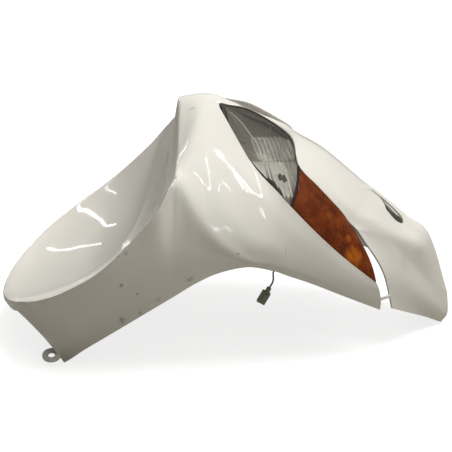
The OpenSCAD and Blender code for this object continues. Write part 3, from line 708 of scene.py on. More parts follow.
def soften(grid, live):
    """Rounds the creases, as a mould does, and more so the corners where the bowl's rim starts."""
    grid = grid.copy()
    all_live = np.zeros(grid.shape[:2], bool)
    all_live[1:-1, 1:-1] = live[:-1, :-1] & live[1:, :-1] & live[:-1, 1:] & live[1:, 1:]
    normal = cell_normals(grid)
    fold = np.zeros(grid.shape[:2], bool)
    bent = (normal[1:] * normal[:-1]).sum(-1) < math.cos(math.radians(FOLD_DEG))
    fold[1:-1, :-1] |= bent
    fold[1:-1, 1:] |= bent
    bent = (normal[:, 1:] * normal[:, :-1]).sum(-1) < math.cos(math.radians(FOLD_DEG))
    fold[:-1, 1:-1] |= bent
    fold[1:, 1:-1] |= bent
    near = fold.copy()
    for to, at in ((np.s_[1:], np.s_[:-1]), (np.s_[:-1], np.s_[1:]),
                   (np.s_[:, 1:], np.s_[:, :-1]), (np.s_[:, :-1], np.s_[:, 1:])):
        near[to] |= fold[at]
    relax(grid, near & all_live, FOLD_ROUNDS)
    corner = SECTIONS[S_TIP][G_RIM]
    away = [np.linalg.norm(grid - corner * (1, side, 1), axis=-1) for side in (1, -1)]
    relax(grid, (np.minimum(*away) < CORNER_REACH) & all_live, CORNER_ROUNDS)
    return grid


def inner_grid(rows, cols, grid, live):
    """The inner face, set in by the wall's thickness."""
    normal = cell_normals(grid) * live[..., None]
    total, least = np.zeros_like(grid), np.ones(grid.shape[:2])
    corners = np.s_[:-1, :-1], np.s_[1:, :-1], np.s_[:-1, 1:], np.s_[1:, 1:]
    for at in corners:
        total[at] += normal
    mean = unit(total)
    for at in corners:
        dot = (normal * mean[at]).sum(-1)
        least[at] = np.where(live, np.minimum(least[at], dot), least[at])
    step = -mean * (WALL / np.maximum(0.5, least))[..., None]
    nh = len(cols) - 1
    for r, (k, _) in enumerate(rows):
        for guide in [G_LOW] * (k >= S_APEX) + [G_UP] * (S_LAMP_B <= k < S_SEAM):
            c = cols.index((guide, 0.0))
            step[r, c] = step[r, 2 * nh - c] = (0, 0, -WALL * 1.3)
    return grid + step


# Rings: outer radius, inner radius, lower end, upper end, softening.
EAR, EAR_TILT, EAR_FROM_CORNER = (14.5, 5.5, -1.75, 1.75, 0.5), 22, (-7.5, 1.0, -5.0)
BOSS_LENGTH, BOSS_STOP = 17.0, 5.0
BOSS, LUG = (4.5, 1.6, 0, BOSS_LENGTH - BOSS_STOP, 0.4), (6.0, 1.9, -3.0, 0.0, 0.4)


def ear_parts():
    """The fixing ear: a flat ring at the panel's rear corner."""
    made, tilt = Build(), math.radians(EAR_TILT)
    made.add(*lathe(ring_profile(*EAR), skin(0, 0, 0, 0.4) + EAR_FROM_CORNER,
                    np.array([0, -math.sin(tilt), math.cos(tilt)]), 64))
    return made


# The strap's ends, from the flank's tip and from the tongue's edge, and its bulging section.
STRAP_FROM, STRAP_TO = (-3.0, 1.5, 3.0), (1.5, 4.2, -0.6)
STRAP_HALF, STRAP_TALL, STRAP_WAIST, STRAP_SQUARE = 1.5, 3.0, 0.18, 0.55
STRAP_RINGS, STRAP_SIDES = 12, 16


def tube_faces(last, sides):
    """The faces of a closed tube, from ring 0 to the last ring."""
    faces = [(i * sides + j, i * sides + (j + 1) % sides, (i + 1) * sides + (j + 1) % sides,
              (i + 1) * sides + j) for i in range(last) for j in range(sides)]
    return faces + [tuple(reversed(range(sides))), tuple(range(last * sides, (last + 1) * sides))]


def bulging(x):
    return math.copysign(abs(x)**STRAP_SQUARE, x)


def strap_parts():
    """The slim bar that bridges the gap between the flank's tip and the tongue."""
    a = on_guide(G_RIM, S_PANEL, 0.0) + STRAP_FROM
    b = on_guide(G_UP, S_CREASE + 1, 0.7) + STRAP_TO
    made, along = Build(), unit(b - a)
    side = unit(np.cross(along, [0, 0, 1]))
    up = np.cross(side, along)
    verts = []
    for f in spread(STRAP_RINGS, 0, 1):
        tall = STRAP_TALL * (1 - STRAP_WAIST * math.sin(math.pi * f))
        verts += [a + (b - a) * f + side * (bulging(math.cos(t)) * STRAP_HALF)
                  + up * (bulging(math.sin(t)) * tall)
                  for t in (2 * math.pi * j / STRAP_SIDES for j in range(STRAP_SIDES))]
    made.add(verts, tube_faces(STRAP_RINGS, STRAP_SIDES))
    return made


# Where the screws stand: section, share, guide and share on the skin, then across the tub.
SCREWS = [(S_LAMP_A, 0.45, G_RIDGE, 0.55, 0.03), (S_LAMP_A, 0.5, G_SLOT_OUT - 1, 0.5, 0.97),
          (S_AMBER_A, 0.7, G_UP, 0.6, 0.97)]


def screw_at(p):
    return skin(*p[:4]) - (0, 0, BOSS_LENGTH)


def boss_parts(p):
    """A screw boss, with its upper end short of the skin above it."""
    made = Build()
    made.add(*lathe(ring_profile(*BOSS), screw_at(p), (0, 0, 1), 32), slot=1)
    return made


def make_shell():
    rows, cols, grid, live = shell_grids()
    grid = soften(grid, live)
    inner = inner_grid(rows, cols, grid, live)
    verts, faces, slots = sheet(grid, inner, lambda r, c: not live[r, c])
    faces = flipped(faces)
    verts, faces = tidy(verts, faces)
    made = Build()
    made.add(verts, faces, [1 if s == 1 else 0 for s in slots])
    extra = [ear_parts(), strap_parts()] + [boss_parts(p) for p in SCREWS]
    for part in extra + [e.mirror() for e in extra]:
        made.add(part.verts, part.faces, part.slots)
    low, high = (np.array(v) / MM for v in (CAD_LOW, CAD_HIGH))
    verts = np.clip(np.array(made.verts) + SHIFT, low, high)
    shell = link("apron_shell_moulding", verts, made.faces, made.slots,
                 [finish_of("white"), finish_of("white_inside")], 42, "apron_shell")
    rim_weights(shell.data, len(faces), [s == 2 for s in slots])
    rim = shell.modifiers.new("rim_round", "BEVEL")
    rim.limit_method, rim.width, rim.segments = "WEIGHT", RIM_ROUND * MM, 2


def rim_weights(mesh, count, on_rim):
    """Weights for the bevel on every edge where a face meets the rim's narrow band."""
    rims, sides = set(), set()
    for polygon in mesh.polygons:
        if polygon.index >= count:
            break
        for key in polygon.edge_keys:
            (rims if on_rim[polygon.index] else sides).add(key)
    weight = mesh.attributes.new("bevel_weight_edge", "FLOAT", "EDGE")
    both = rims & sides
    weight.data.foreach_set("value", [1.0 if tuple(sorted(e.vertices)) in both else 0.0
                                      for e in mesh.edges])


# The lamps: every layer lies along one draw direction from the line of its lens.
DRAW = unit([0, 0.15, -1.0])
LENS_DRAW, HOUSING_DRAW = LENS_WALL / 0.75, HOUSING_WALL / 0.6
REFLECTOR_DRAW = REFLECTOR_WALL / 0.75
SEAL_HALF = 0.07
LENS_FROM, LENS_TO = S_APEX + 0.06, S_PANEL - 0.03
TURN_ROWS = (S_SEAM + 0.25, S_PANEL - 0.35)


def opening(g, u):
    k = min(math.floor(u), len(SECTIONS) - 1)
    return on_guide(g, k, u - k)


def bulge(u):
    if u < S_SEAM:
        return (END_BULGE + (AMBER_BULGE - END_BULGE) * share(u, S_APEX, S_SEAM)
                + (CLEAR_BULGE - AMBER_BULGE) * math.sin(math.pi * share(u, S_APEX, S_SEAM)**0.8))
    return AMBER_BULGE - (AMBER_BULGE - END_BULGE) * share(u, S_SEAM, S_PANEL)


CROWN, CROWN_SPAN, CROWN_EDGE = 10.0, 0.66, 13.5
EDGE_FROM = 0.935  # the lenses' steep upper edge takes a painted reflection, a dull light grey band, from here
CROWN_UP = unit([0.0, 0.3, 1.0])


def crown(u, w):
    """The clear lens stands proud of the nose along its upper edge."""
    along = math.exp(-((u - S_LAMP_A) / CROWN_SPAN)**2)
    return CROWN * along * max(0.0, math.sin(math.pi * share(w, 0, 1)**CROWN_EDGE))**0.6


def step_in(n, t, d):
    m = unit(np.cross(n, t))
    return m * (-1 if m @ d < 0 else 1)


def arch(w):
    return max(0.0, math.sin(math.pi * w))


def lens_line(u, w, gap=LENS_GAP):
    a, b = opening(G_LOW, u), opening(G_UP, u)
    d = unit(b - a)
    ta = opening(G_LOW, u + 0.02) - opening(G_LOW, u - 0.02)
    tb = opening(G_UP, u + 0.02) - opening(G_UP, u - 0.02)
    n = unit(np.cross(ta, b - a))
    a2, b2 = a + step_in(n, ta, d) * gap, b - step_in(n, tb, d) * gap
    return (a2 + (b2 - a2) * w + n * ((-1 if n[2] < 0 else 1) * bulge(u) * arch(w)**0.7)
            + CROWN_UP * crown(u, w)
            + unit(ta) * (FREE_END_ROUND * share(u, S_AMBER_B, LENS_TO)**2 * arch(w)))


def layer(u, w, depth, gap=LENS_GAP):
    return lens_line(u, w, gap) + DRAW * depth


def box_rise(x, p):
    return 1 - abs(2 * x - 1)**p


def tub_floor(u, w):
    if u < S_SEAM:
        along = (max(0.0, math.sin(math.pi / 2 * share(u, S_APEX, S_LAMP_B - 0.2)))**0.9
                 * (1 - 0.25 * share(u, S_LAMP_B - 0.2, S_SEAM)))
    else:
        along = 0.75 - 0.3 * share(u, S_SEAM, S_PANEL)
    end = max(0.0, math.cos(math.pi / 2 * share(u, S_AMBER_B - 0.3, S_PANEL)))**0.8
    return max(0.0, box_rise(w, 4))**0.8 * HOUSING_DEPTH * along * end


def tub(u, w, wall=0.0):
    """The housing's front face, or its rear one when the wall's draw is given."""
    return layer(u, w, LENS_DRAW + FIT_GAP + tub_floor(u, w) + wall, HOUSING_GAP)


def both_sides(name, made, materials, node, sharp_deg=35):
    """The near piece and its mirror on the far side."""
    for side, part in (("near", made), ("far", made.mirror())):
        piece = link(f"{name}_{side}", np.array(part.verts) + SHIFT, part.faces, part.slots,
                     materials, sharp_deg, f"{node}_{side}")


def soft_edge_values(count):
    """Shares from 0 to 1, closer together near both ends."""
    return [0.5 - 0.5 * math.cos(math.pi * i / count) for i in range(count + 1)]


def plate(us, ws, front, back, edge_slot=0):
    """A closed sheet along the lens's line, between two depths, with a slot for its steep edge."""
    verts, faces, _ = sheet([[layer(u, w, front) for w in ws] for u in us],
                            [[layer(u, w, back) for w in ws] for u in us])
    count, made = len(us) * len(ws), Build()
    least = [min(ws[i % count % len(ws)] for i in f) for f in faces]
    made.add(verts, flipped(faces), [edge_slot if w > EDGE_FROM else 0 for w in least])
    return made


def make_clear_lenses():
    # the steep upper edge takes slot 1, the painted reflection band
    made = plate(spread(90, LENS_FROM, S_SEAM - SEAL_HALF), soft_edge_values(56), 0, LENS_DRAW, 1)
    both_sides("headlamp_lens_dome", made, [finish_of("clear"), finish_of("lens_edge")],
               "headlamp_lens")


def make_amber_lenses():
    made = plate(spread(90, S_SEAM + SEAL_HALF, LENS_TO), soft_edge_values(48), 0, LENS_DRAW)
    both_sides("indicator_lens_dome", made, [finish_of("amber")], "indicator_lens")


def make_seals():
    made = plate(spread(3, S_SEAM - SEAL_HALF + 0.02, S_SEAM + SEAL_HALF - 0.02),
                 soft_edge_values(48), 0.4, LENS_DRAW - 0.1)
    both_sides("lamp_seal_strip", made, [finish_of("seal")], "lamp_seal")


def view_height(p):
    """Height on a plane that leans back by twenty degrees, from the panel's middle."""
    lean = math.radians(VIEW_PITCH)
    return p[1] * math.sin(lean) + (p[2] - VIEW_HEIGHT) * math.cos(lean)


FLUTES = (  # top, foot, left, right, slant, pitch, depth, base rise
    (139.0, 101.0, 42.0, 108.0, 0.39, 6.6, 4.5, 0.0),
    (98.0, 34.0, 62.0, 112.0, 0.25, 6.2, 4.5, 5.0))


def flute_zone(p, row):
    """One inside a row of flutes, falling to nothing at its edges."""
    top, foot, left, right, slant = row[:5]
    q, x = view_height(p), p[0]
    lean = x + slant * (q - top)
    return (share(q, foot, foot + 4) * (1 - share(q, top - 4, top)) * share(lean, left - 5, left)
            * (1 - share(x, right, right + 4)))


def flute_height(p):
    """The headlamp reflector's two rows of flutes, with a step between them."""
    rise = 0.0
    for row in FLUTES:
        inside = flute_zone(p, row)
        if inside > 0:
            phase = (p[0] + row[4] * (view_height(p) - row[0])) / row[5]
            rise += inside * (row[6] * abs(math.sin(math.pi * phase)) + row[7])
    return rise


def head_depth(u, w):
    """Steep along the upper edge, rising towards the lower one."""
    tub = tub_floor(u, w) - REFLECTOR_DRAW - REFLECTOR_GAP
    floor = 11 + 42 * share(w, 0.04, 0.86)**1.1
    return LENS_DRAW + FIT_GAP + max(1.0, min(tub, floor))


def turn_depth(u, w):
    lift_off = math.sin(math.pi * share(u, *TURN_ROWS)) * math.sin(math.pi * share(w, 0.1, 0.9))
    return LENS_DRAW + FIT_GAP + max(1, tub_floor(u, w) - REFLECTOR_DRAW - REFLECTOR_GAP
                                     - (HOUSING_DEPTH - REFLECTOR_DEPTH) * lift_off)


def reflector_build(us, span, depth, hole_at, hole, count_w, flutes=None, painted_shade_slot=0):
    """A reflector's bright shell, with painted shade on its smooth upper cells and its edges where
    a slot for it is given: rows at us, and across from span(u).
    """
    centre, axis = hole_at
    front, back, plain = [], [], []
    for u in us:
        w0, w1 = span(u)
        line = [layer(u, w, depth(u, w), HOUSING_GAP) for w in spread(count_w, w0, w1)]
        rises = [min(flutes(p), depth(u, w0) + 20) if flutes else 0.0 for p in line]
        front.append([p - DRAW * r for p, r in zip(line, rises)])
        back.append([p + DRAW * REFLECTOR_DRAW for p in line])
        # smooth cells high in the view get painted shade: a dull dark grey for the reflector's
        # shaded upper part
        plain.append([r < 0.3 and view_height(p) > 100 for p, r in zip(line, rises)])
    front, back = np.array(front), np.array(back)

    def near_hole(r, c):
        mid = (front[r, c] + front[r + 1, c + 1]) / 2 - centre
        return np.linalg.norm(mid - axis * (mid @ axis)) < hole / 2
    verts, faces, slots = sheet(front, back, near_hole)
    smooth = iter([plain[r][c] for r in range(len(front) - 1) for c in range(len(front[0]) - 1)
                   if not near_hole(r, c)])
    out = [1 if kind == 1 else painted_shade_slot if kind == 2 or next(smooth) else 0 for kind in slots]
    verts, faces = tidy(verts, faces)
    made = Build()
    made.add(verts, flipped(faces), out)
    return made


def tube_along(points, radius, sides=10):
    """A thin round bar through points."""
    points = np.asarray(points)
    verts = []
    for i, p in enumerate(points):
        along = unit(points[min(i + 1, len(points) - 1)] - points[max(i - 1, 0)])
        side = unit(np.cross(along, [0, 0, 1.0]))
        up = np.cross(side, along)
        verts += [p + (side * math.cos(a) + up * math.sin(a)) * radius
                  for a in (2 * math.pi * j / sides for j in range(sides))]
    return verts, tube_faces(len(points) - 1, sides)


# Where the bulbs stand in the tub's floor, and their axes, as the CAD source works them out.
HEAD_FLOOR = (np.array([78.395, -74.14, 252.19]), np.array([-0.2589, 0.5605, -0.7866]))
TURN_FLOOR = (np.array([164.085, -123.20, 179.88]), np.array([-0.4994, 0.6555, -0.5665]))
COLLARS = [(*HEAD_FLOOR, 12.0), (*TURN_FLOOR, 9.0)]  # with the radius of each bulb's collar
COLLAR_WALL, COLLAR_LENGTH, COLLAR_SOFT = 4, 12.0, 0.5
HEAD_ROWS, HEAD_HOLE, TURN_HOLE = (S_APEX + 0.22, S_SEAM - 0.09), 17.0, 14.0
RIM_BAR_RADIUS = 0.8


def head_span(u):
    """From where to where the headlamp reflector reaches across the opening."""
    return 0.15 - 0.10 * share(u, S_LAMP_A + 0.3, S_LAMP_B + 0.2), 0.975


def rim_bar(t):
    """The line of the thin bright bar over the headlamp reflector."""
    return layer(S_APEX + 0.32 + 0.8 * t, 0.86 - 0.36 * t, LENS_DRAW + 6 + 5 * t, HOUSING_GAP)


def make_reflectors():
    head = reflector_build(spread(150, *HEAD_ROWS), head_span, head_depth, HEAD_FLOOR, HEAD_HOLE,
                           120, flute_height, painted_shade_slot=2)
    head.add(*tube_along([rim_bar(t) for t in spread(30, 0, 1)], RIM_BAR_RADIUS), slot=0)
    turn = reflector_build(spread(60, *TURN_ROWS), lambda u: (0.1, 0.9), turn_depth, TURN_FLOOR,
                           TURN_HOLE, 44)
    # the third finish, slot 2, is the painted shade on the headlamp reflector's smooth upper part
    # and edges
    skins = [finish_of(n) for n in ("reflector", "lamp_body", "reflector_wall")]
    both_sides("headlamp_reflector_bowl", head, skins, "headlamp_reflector", 60)
    both_sides("indicator_reflector_bowl", turn, skins, "indicator_reflector", 60)


def make_housings():
    us, ws = spread(60, LENS_FROM, LENS_TO), soft_edge_values(44)
    front = np.array([[tub(u, w) for w in ws] for u in us])
    back = [[tub(u, w, HOUSING_DRAW) for w in ws] for u in us]

    def open_cell(r, c):
        mid = (front[r, c] + front[r + 1, c + 1]) / 2
        for centre, axis, radius in COLLARS:
            d = mid - centre
            if np.linalg.norm(d - axis * (d @ axis)) < radius and abs(d @ axis) < 20:
                return True
        return False
    verts, faces, _ = sheet(front, back, open_cell)
    verts, faces = tidy(verts, faces)
    made = Build()
    made.add(verts, flipped(faces))
    for centre, axis, radius in COLLARS:
        ring = ring_profile(radius + COLLAR_WALL, radius, 0.5, COLLAR_LENGTH, COLLAR_SOFT)
        made.add(*lathe(ring, centre, axis, 64))
    for p in SCREWS:
        foot, wall_point = screw_at(p), tub(p[0] + p[1], p[4], HOUSING_DRAW)
        made.add(*lathe(ring_profile(*LUG), foot, (0, 0, 1), 40))
        made.add(*arm(foot - (0, 0, 1.5), wall_point))
    both_sides("lamp_housing_tub", made, [finish_of("lamp_body")], "lamp_housing", 40)


def arm(foot, wall_point):
    """The web between a screw lug and the tub."""
    flat = np.array([wall_point[0] - foot[0], wall_point[1] - foot[1], 0.0])
    d = unit(flat)
    side = np.array([-d[1], d[0], 0.0])
    a = foot + d * 5.0
    verts = []
    for p, half, tall in ((a, 4.0, 1.5), (wall_point + d * 0.5, 2.2, 2.2)):
        verts += [p + side * half - (0, 0, tall), p - side * half - (0, 0, tall),
                  p - side * half + (0, 0, tall), p + side * half + (0, 0, tall)]
    faces = [(3, 2, 1, 0), (4, 5, 6, 7), (0, 1, 5, 4), (1, 2, 6, 5), (2, 3, 7, 6), (3, 0, 4, 7)]
    return verts, faces


def bulb_build(glass_d, glass_len, base_d):
    """A bulb's glass, metal cap and rim, along its own axis."""
    r = glass_d / 2
    glass = [(1e-3, -glass_len)] + [(r * math.sin(a), -glass_len + r - r * math.cos(a))
                                    for a in spread(10, 0.12, math.pi / 2)]
    glass += [(r, -6.0), (r * 0.72, -4.0), (r * 0.7, -3.0), (1e-3, -3.0)]
    base = base_d / 2
    cap = [(1e-3, -4.0), (base - 1.0, -4.0), (base - 0.2, -3.2), (base - 0.2, 8.9),
           (base - 1.0, 9.5), (1e-3, 9.5)]
    return glass, cap


def make_bulbs():
    for name, (centre, axis), glass_d, glass_len, base_d, node in (
            ("headlamp_bulb_clear", HEAD_FLOOR, 16.0, 34.0, 19.0, "headlamp_bulb"),
            ("indicator_bulb_clear", TURN_FLOOR, 13.0, 19.0, 14.0, "indicator_bulb")):
        glass, cap = bulb_build(glass_d, glass_len, base_d)
        made = Build()
        made.add(*lathe(glass, centre, axis, 40, closed=False), 0)
        made.add(*lathe(cap, centre, axis, 40, closed=False), 1)
        coil = -glass_len * 0.62
        filament = [(1e-3, coil - 4), (1.1, coil - 4), (1.1, coil + 2), (0.4, coil + 2.2),
                    (0.4, -3.2)]
        made.add(*lathe(filament, centre, axis, 12, closed=False), 1)
        both_sides(name, made, [finish_of("bulb"), finish_of("cap")], node, 40)


# The lead, its plug and its pins.
LEAD_POINTS = [(147, -99.8, 160), (142, -94, 154), (128, -98, 147), (108, -118, 146),
               (90, -138, 151), (79, -148, 152), (73, -150, 145), (73, -150, 136),
               (72, -150, 128), (67, -150, 119)]
LEAD_DIAMETER = 2.6


def lead_route(steps):
    pts = [np.array(p, float) for p in LEAD_POINTS]
    n = len(pts) - 1
    route = []
    for i in range(n):
        b, c = pts[i], pts[i + 1]
        a = 2 * b - c if i == 0 else pts[i - 1]
        d = 2 * c - b if i + 1 >= n else pts[i + 2]
        route += [spline(a, b, c, d, k / steps) for k in range(steps)]
    return [(p + SHIFT) * MM for p in route + [pts[n]]]


def length_of(route):
    return float(sum(np.linalg.norm(b - a) for a, b in zip(route, route[1:])))


def make_lead():
    route = lead_route(4)
    curve = bpy.data.curves.new("indicator_lead_sheath", "CURVE")
    curve.dimensions, curve.bevel_depth = "3D", LEAD_DIAMETER / 2 * MM
    curve.bevel_resolution, curve.use_fill_caps = 5, True
    line = curve.splines.new("POLY")
    line.points.add(len(route) - 1)
    for point, place in zip(line.points, route):
        point.co = (*place, 1.0)
    curve.materials.append(finish_of("lead"))
    lead = put("indicator_lead_sheath", curve)
    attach(lead, "root")
    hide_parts("indicator_lead")
    length_of(route)


def dress_node(name, look, bevel=0.0):
    """A CAD node that stays: its finish, and softened edges by a modifier."""
    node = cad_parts[name]
    node.data.materials.clear()
    node.data.materials.append(finish_of(look))
    if bevel:
        soft = node.modifiers.new("soft_edges", "BEVEL")
        soft.width, soft.segments, soft.limit_method = bevel * MM, 2, "ANGLE"
        soft.angle_limit = math.radians(50)


# Sizes and colours that a user would change.
def colour(name, description, default):
    return FloatVectorProperty(name=name, description=description, subtype="COLOR", size=3, min=0,
                               max=1, default=default)


def amount(name, description, default, low, high, **kind):
    return FloatProperty(name=name, description=description, default=default, min=low, max=high,
                         **kind)


class ShellLook(bpy.types.PropertyGroup):
    colour: colour("White", "Colour of the clean moulding", (0.81, 0.785, 0.72))
    aged: colour("Aged white", "Colour where the moulding has yellowed", (0.765, 0.745, 0.69))
    inner: colour("Inner face", "Colour of the unpolished side", (0.66, 0.655, 0.62))
    mark: colour("Marks", "Colour of scuffs and chips", (0.20, 0.19, 0.15))
    # also the colour of the darker, rougher patches towards the bottom of the polished face
    dirt: colour("Dirt", "Colour of dust and road dirt", (0.38, 0.35, 0.28))
    gloss: amount("Roughness", "Roughness of the polished face", 0.035, 0.02, 0.6,
                  subtype="FACTOR")


class LampLook(bpy.types.PropertyGroup):
    clear_tint: colour("Clear lens", "What the clear lens lets through", (0.95, 0.95, 0.94))
    amber_tint: colour("Amber tint", "What the amber lens lets through", (0.80, 0.20, 0.02))
    amber_deep: colour("Amber, deep", "Amber in its thick places", (0.10, 0.012, 0.002))
    # bright amber: partly the lens's own lighter tone, partly painted light where it gathers in the
    # flutes
    amber_bright: colour("Amber, bright", "Amber where light gathers", (0.42, 0.10, 0.012))
    # painted glow: the colour of the bright patches painted on the amber lens
    painted_amber_glow: colour("Amber, glow", "Amber before the reflector", (1.0, 0.30, 0.015))
    reflector: colour("Reflector", "Colour of the metallised bowl", (0.95, 0.935, 0.89))
    amber_pitch: amount("Flute pitch", "Width of one flute of the amber lens", 0.0024, 0.001, 0.01,
                        unit="LENGTH")


class StageLook(bpy.types.PropertyGroup):
    soft_light: amount("Soft light", "Power of the wide overhead light", 43.0, 0.0, 500.0,
                       unit="POWER")
    tube_light: amount("Tubes", "Brightness of the ceiling tubes", 1.0, 0.0, 10.0)
    room: amount("Room", "Strength of the room's own light", 0.40, 0.0, 2.0)
    ground: colour("Ground", "Colour of the floor as it lights the part", (0.41, 0.395, 0.355))


# The stage, in metres: the floor's half width and its place just under the part, the wide light.
FLOOR_HALF, FLOOR_DROP = 12.0, 0.0006
SOFT_AT, SOFT_AIM, SOFT_SIZE = Vector((0.6, -0.05, 2.4)), Vector((0.0, 0.0, 0.1)), (1.6, 1.3)


def area_light(name, at, turn, size, size_y, power):
    lamp = bpy.data.lights.new(name, "AREA")
    lamp.shape, lamp.size, lamp.size_y, lamp.energy = "RECTANGLE", size, size_y, power
    holder = put(name, lamp)
    holder.location, holder.rotation_euler = at, turn
    holder.visible_camera = False
    return holder


def make_camera():
    """The photograph's view: level across, looking down by twenty degrees from three metres."""
    pitch = math.radians(VIEW_PITCH)
    target = Vector((SHIFT[0] * MM, 0.0, VIEW_HEIGHT * MM))
    lens = bpy.data.cameras.new("photo_view")
    lens.sensor_width = 36.0
    lens.lens = lens.sensor_width * VIEW_SCALE * VIEW_DISTANCE / PHOTO_SIDE
    camera = put("photo_view", lens)
    camera.location = target + Vector((0, -math.cos(pitch), math.sin(pitch))) * VIEW_DISTANCE * MM
    camera.rotation_euler = (math.pi / 2 - pitch, 0, 0)
    lens.clip_start, lens.clip_end = 0.05, 60.0
    bpy.context.scene.camera = camera


def make_floor():
    look = bpy.context.scene.front_panel_stage
    mesh = bpy.data.meshes.new("studio_floor")
    mesh.from_pydata([(x * FLOOR_HALF, y * FLOOR_HALF, 0)
                      for x, y in ((-1, -1), (1, -1), (1, 1), (-1, 1))], [], [(0, 1, 2, 3)])
    floor = put("studio_floor", mesh)
    floor.location.z = -FLOOR_DROP
    s = Shader("pale_floor")
    seen = s.node("ShaderNodeLightPath", out="Is Camera Ray").greater(
        s.node("ShaderNodeLightPath", out="Is Transmission Ray"))
    shaded = s.node("ShaderNodeBsdfDiffuse", {}, {"Color": rgb(look.ground)})
    white = s.node("ShaderNodeEmission", {}, {"Color": (1, 1, 1, 1), "Strength": 0.80})
    both = s.node("ShaderNodeAddShader", {}, {0: white, 1: s.node(
        "ShaderNodeBsdfDiffuse", {}, {"Color": (0.42, 0.42, 0.42, 1)})})
    mesh.materials.append(s.finish(s.mix_shader(seen, shaded, both)))


def make_world():
    """A room that is pale above and dim low down; the camera sees plain white behind the part."""
    look = bpy.context.scene.front_panel_stage
    world = bpy.data.worlds.new("studio_room")
    bpy.context.scene.world = world
    s = Shader(world, "ShaderNodeOutputWorld")
    along, _, height = s.split(s.node("ShaderNodeTexCoord", out="Generated"))
    shade = 1.0 - ((0.1 - along) * 1.3).clamp() * 0.75
    dim, mid, pale = look.room * 0.5, look.room, look.room * 1.9
    tone = s.ramp(height * 0.5 + 0.5, [(0.45, rgb_grey(dim)), (0.62, rgb_grey(mid * 0.55)),
                                       (0.82, rgb_grey(mid)), (1.0, rgb_grey(pale))])
    room = s.node("ShaderNodeBackground", {}, {"Color": tone, "Strength": shade})
    white = s.node("ShaderNodeBackground", {}, {"Color": (1, 1, 1, 1), "Strength": 1.0})
    seen = s.node("ShaderNodeLightPath", out="Is Camera Ray")
    s.finish(s.mix_shader(seen, room, white))


def rgb_grey(level):
    return (level, level * 0.98, level * 0.915)


TUBES = [  # end, end and height of each ceiling tube, in metres, its width and brightness
    ((1.03, 0.13), (1.02, -0.86), 2.3, 0.022, 22.0),
    ((0.93, 0.10), (1.04, 0.13), 2.3, 0.03, 22.0),
    ((1.6, 0.0), (1.58, -0.34), 2.3, 0.04, 14.0),
    ((1.07, -1.45), (1.25, -1.95), 2.3, 0.04, 14.0),
    ((3.05, -2.6), (3.55, -3.6), 2.3, 0.06, 14.0),
    ((-1.5, 1.15), (-3.9, 5.6), 2.3, 0.055, 16.0),
    ((-1.2, 2.2), (-3.5, 6.5), 2.3, 0.03, 14.0),
    ((-2.2, 1.35), (-3.4, 2.95), 2.3, 0.03, 12.0)]


def tube_lights(power):
    for i, (a, b, height, width, level) in enumerate(TUBES):
        a, b = Vector((*a, height)), Vector((*b, height))
        length = (b - a).length
        area_light(f"ceiling_tube_{i}", (a + b) / 2, (0, 0, math.atan2(b.y - a.y, b.x - a.x)),
                   length, width, math.pi * length * width * level * power)


class PieceOperator:
    """What every operator of this file shares."""
    bl_options = {"REGISTER", "UNDO"}

    def execute(self, context):
        self.make(context)
        return {"FINISHED"}


class PANEL_OT_stage(PieceOperator, bpy.types.Operator):
    """Sets the camera, the floor, the room and the lights"""
    bl_idname = "front_panel.stage"
    bl_label = "Stage"

    def make(self, context):
        look = context.scene.front_panel_stage
        make_camera()
        make_floor()
        make_world()
        turn = (SOFT_AIM - SOFT_AT).to_track_quat("-Z", "Y").to_euler()
        soft = area_light("overhead_soft", SOFT_AT, turn, *SOFT_SIZE, look.soft_light)
        soft.visible_glossy = False
        tube_lights(look.tube_light)
        context.scene.view_settings.view_transform = "Standard"


class PANEL_OT_lead(PieceOperator, bpy.types.Operator):
    """Makes the near indicator's lead, and dresses its plug and pins"""
    bl_idname = "front_panel.lead"
    bl_label = "Indicator lead"

    def make(self, context):
        make_lead()
        dress_node("lead_plug", "plug", 0.8)
        dress_node("lead_pins", "pin", 0.2)


class PANEL_OT_shell(PieceOperator, bpy.types.Operator):
    """Makes the white one-piece moulding with its ears, straps and bosses"""
    bl_idname = "front_panel.shell"
    bl_label = "White shell"

    def make(self, context):
        make_shell()


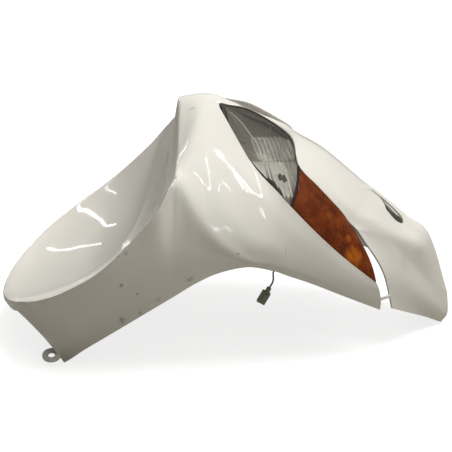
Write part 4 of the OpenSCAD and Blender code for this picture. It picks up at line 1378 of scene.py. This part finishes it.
class PANEL_OT_lenses(PieceOperator, bpy.types.Operator):
    """Makes the clear and amber lenses and the seals between them"""
    bl_idname = "front_panel.lenses"
    bl_label = "Lenses and seals"

    def make(self, context):
        make_clear_lenses()
        make_amber_lenses()
        make_seals()


class PANEL_OT_lamps(PieceOperator, bpy.types.Operator):
    """Makes the housings, reflectors and bulbs, and dresses the holders and screws"""
    bl_idname = "front_panel.lamps"
    bl_label = "Lamp insides"

    def make(self, context):
        make_housings()
        make_reflectors()
        make_bulbs()
        for node, look, slot, bevel in (("headlamp_holder", "holder", "holder_rubber", 0.6),
                                        ("indicator_holder", "holder", "holder_rubber", 0.6),
                                        ("lamp_screws", "screw", "screw_steel", 0.3)):
            for side in ("near", "far"):
                dress_node(f"{node}_{side}", look, bevel)


class PANEL_PT_sidebar(bpy.types.Panel):
    """Lists the looks and the steps in the 3D view's sidebar"""
    bl_idname = "PANEL_PT_sidebar"
    bl_label = "Front panel"
    bl_space_type = "VIEW_3D"
    bl_region_type = "UI"
    bl_category = "Front panel"

    def draw(self, context):
        for group in (context.scene.front_panel_shell, context.scene.front_panel_lamps,
                      context.scene.front_panel_stage):
            for name in group.__annotations__:
                self.layout.prop(group, name)
        for step in STEPS:
            self.layout.operator(step.bl_idname)


STEPS = (PANEL_OT_stage, PANEL_OT_lead, PANEL_OT_shell, PANEL_OT_lenses, PANEL_OT_lamps)
GROUPS = {"front_panel_shell": ShellLook, "front_panel_lamps": LampLook,
          "front_panel_stage": StageLook}


def register():
    for cls in (*GROUPS.values(), *STEPS, PANEL_PT_sidebar):
        bpy.utils.register_class(cls)
    for name, cls in GROUPS.items():
        setattr(bpy.types.Scene, name, PointerProperty(type=cls))


def unregister():
    for name in GROUPS:
        delattr(bpy.types.Scene, name)
    for cls in reversed((*GROUPS.values(), *STEPS, PANEL_PT_sidebar)):
        bpy.utils.unregister_class(cls)


def main():
    register()
    bpy.ops.front_panel.stage()
    bpy.ops.front_panel.lead()
    bpy.ops.front_panel.shell()
    bpy.ops.front_panel.lenses()
    bpy.ops.front_panel.lamps()


if __name__ == "__main__":
    main()
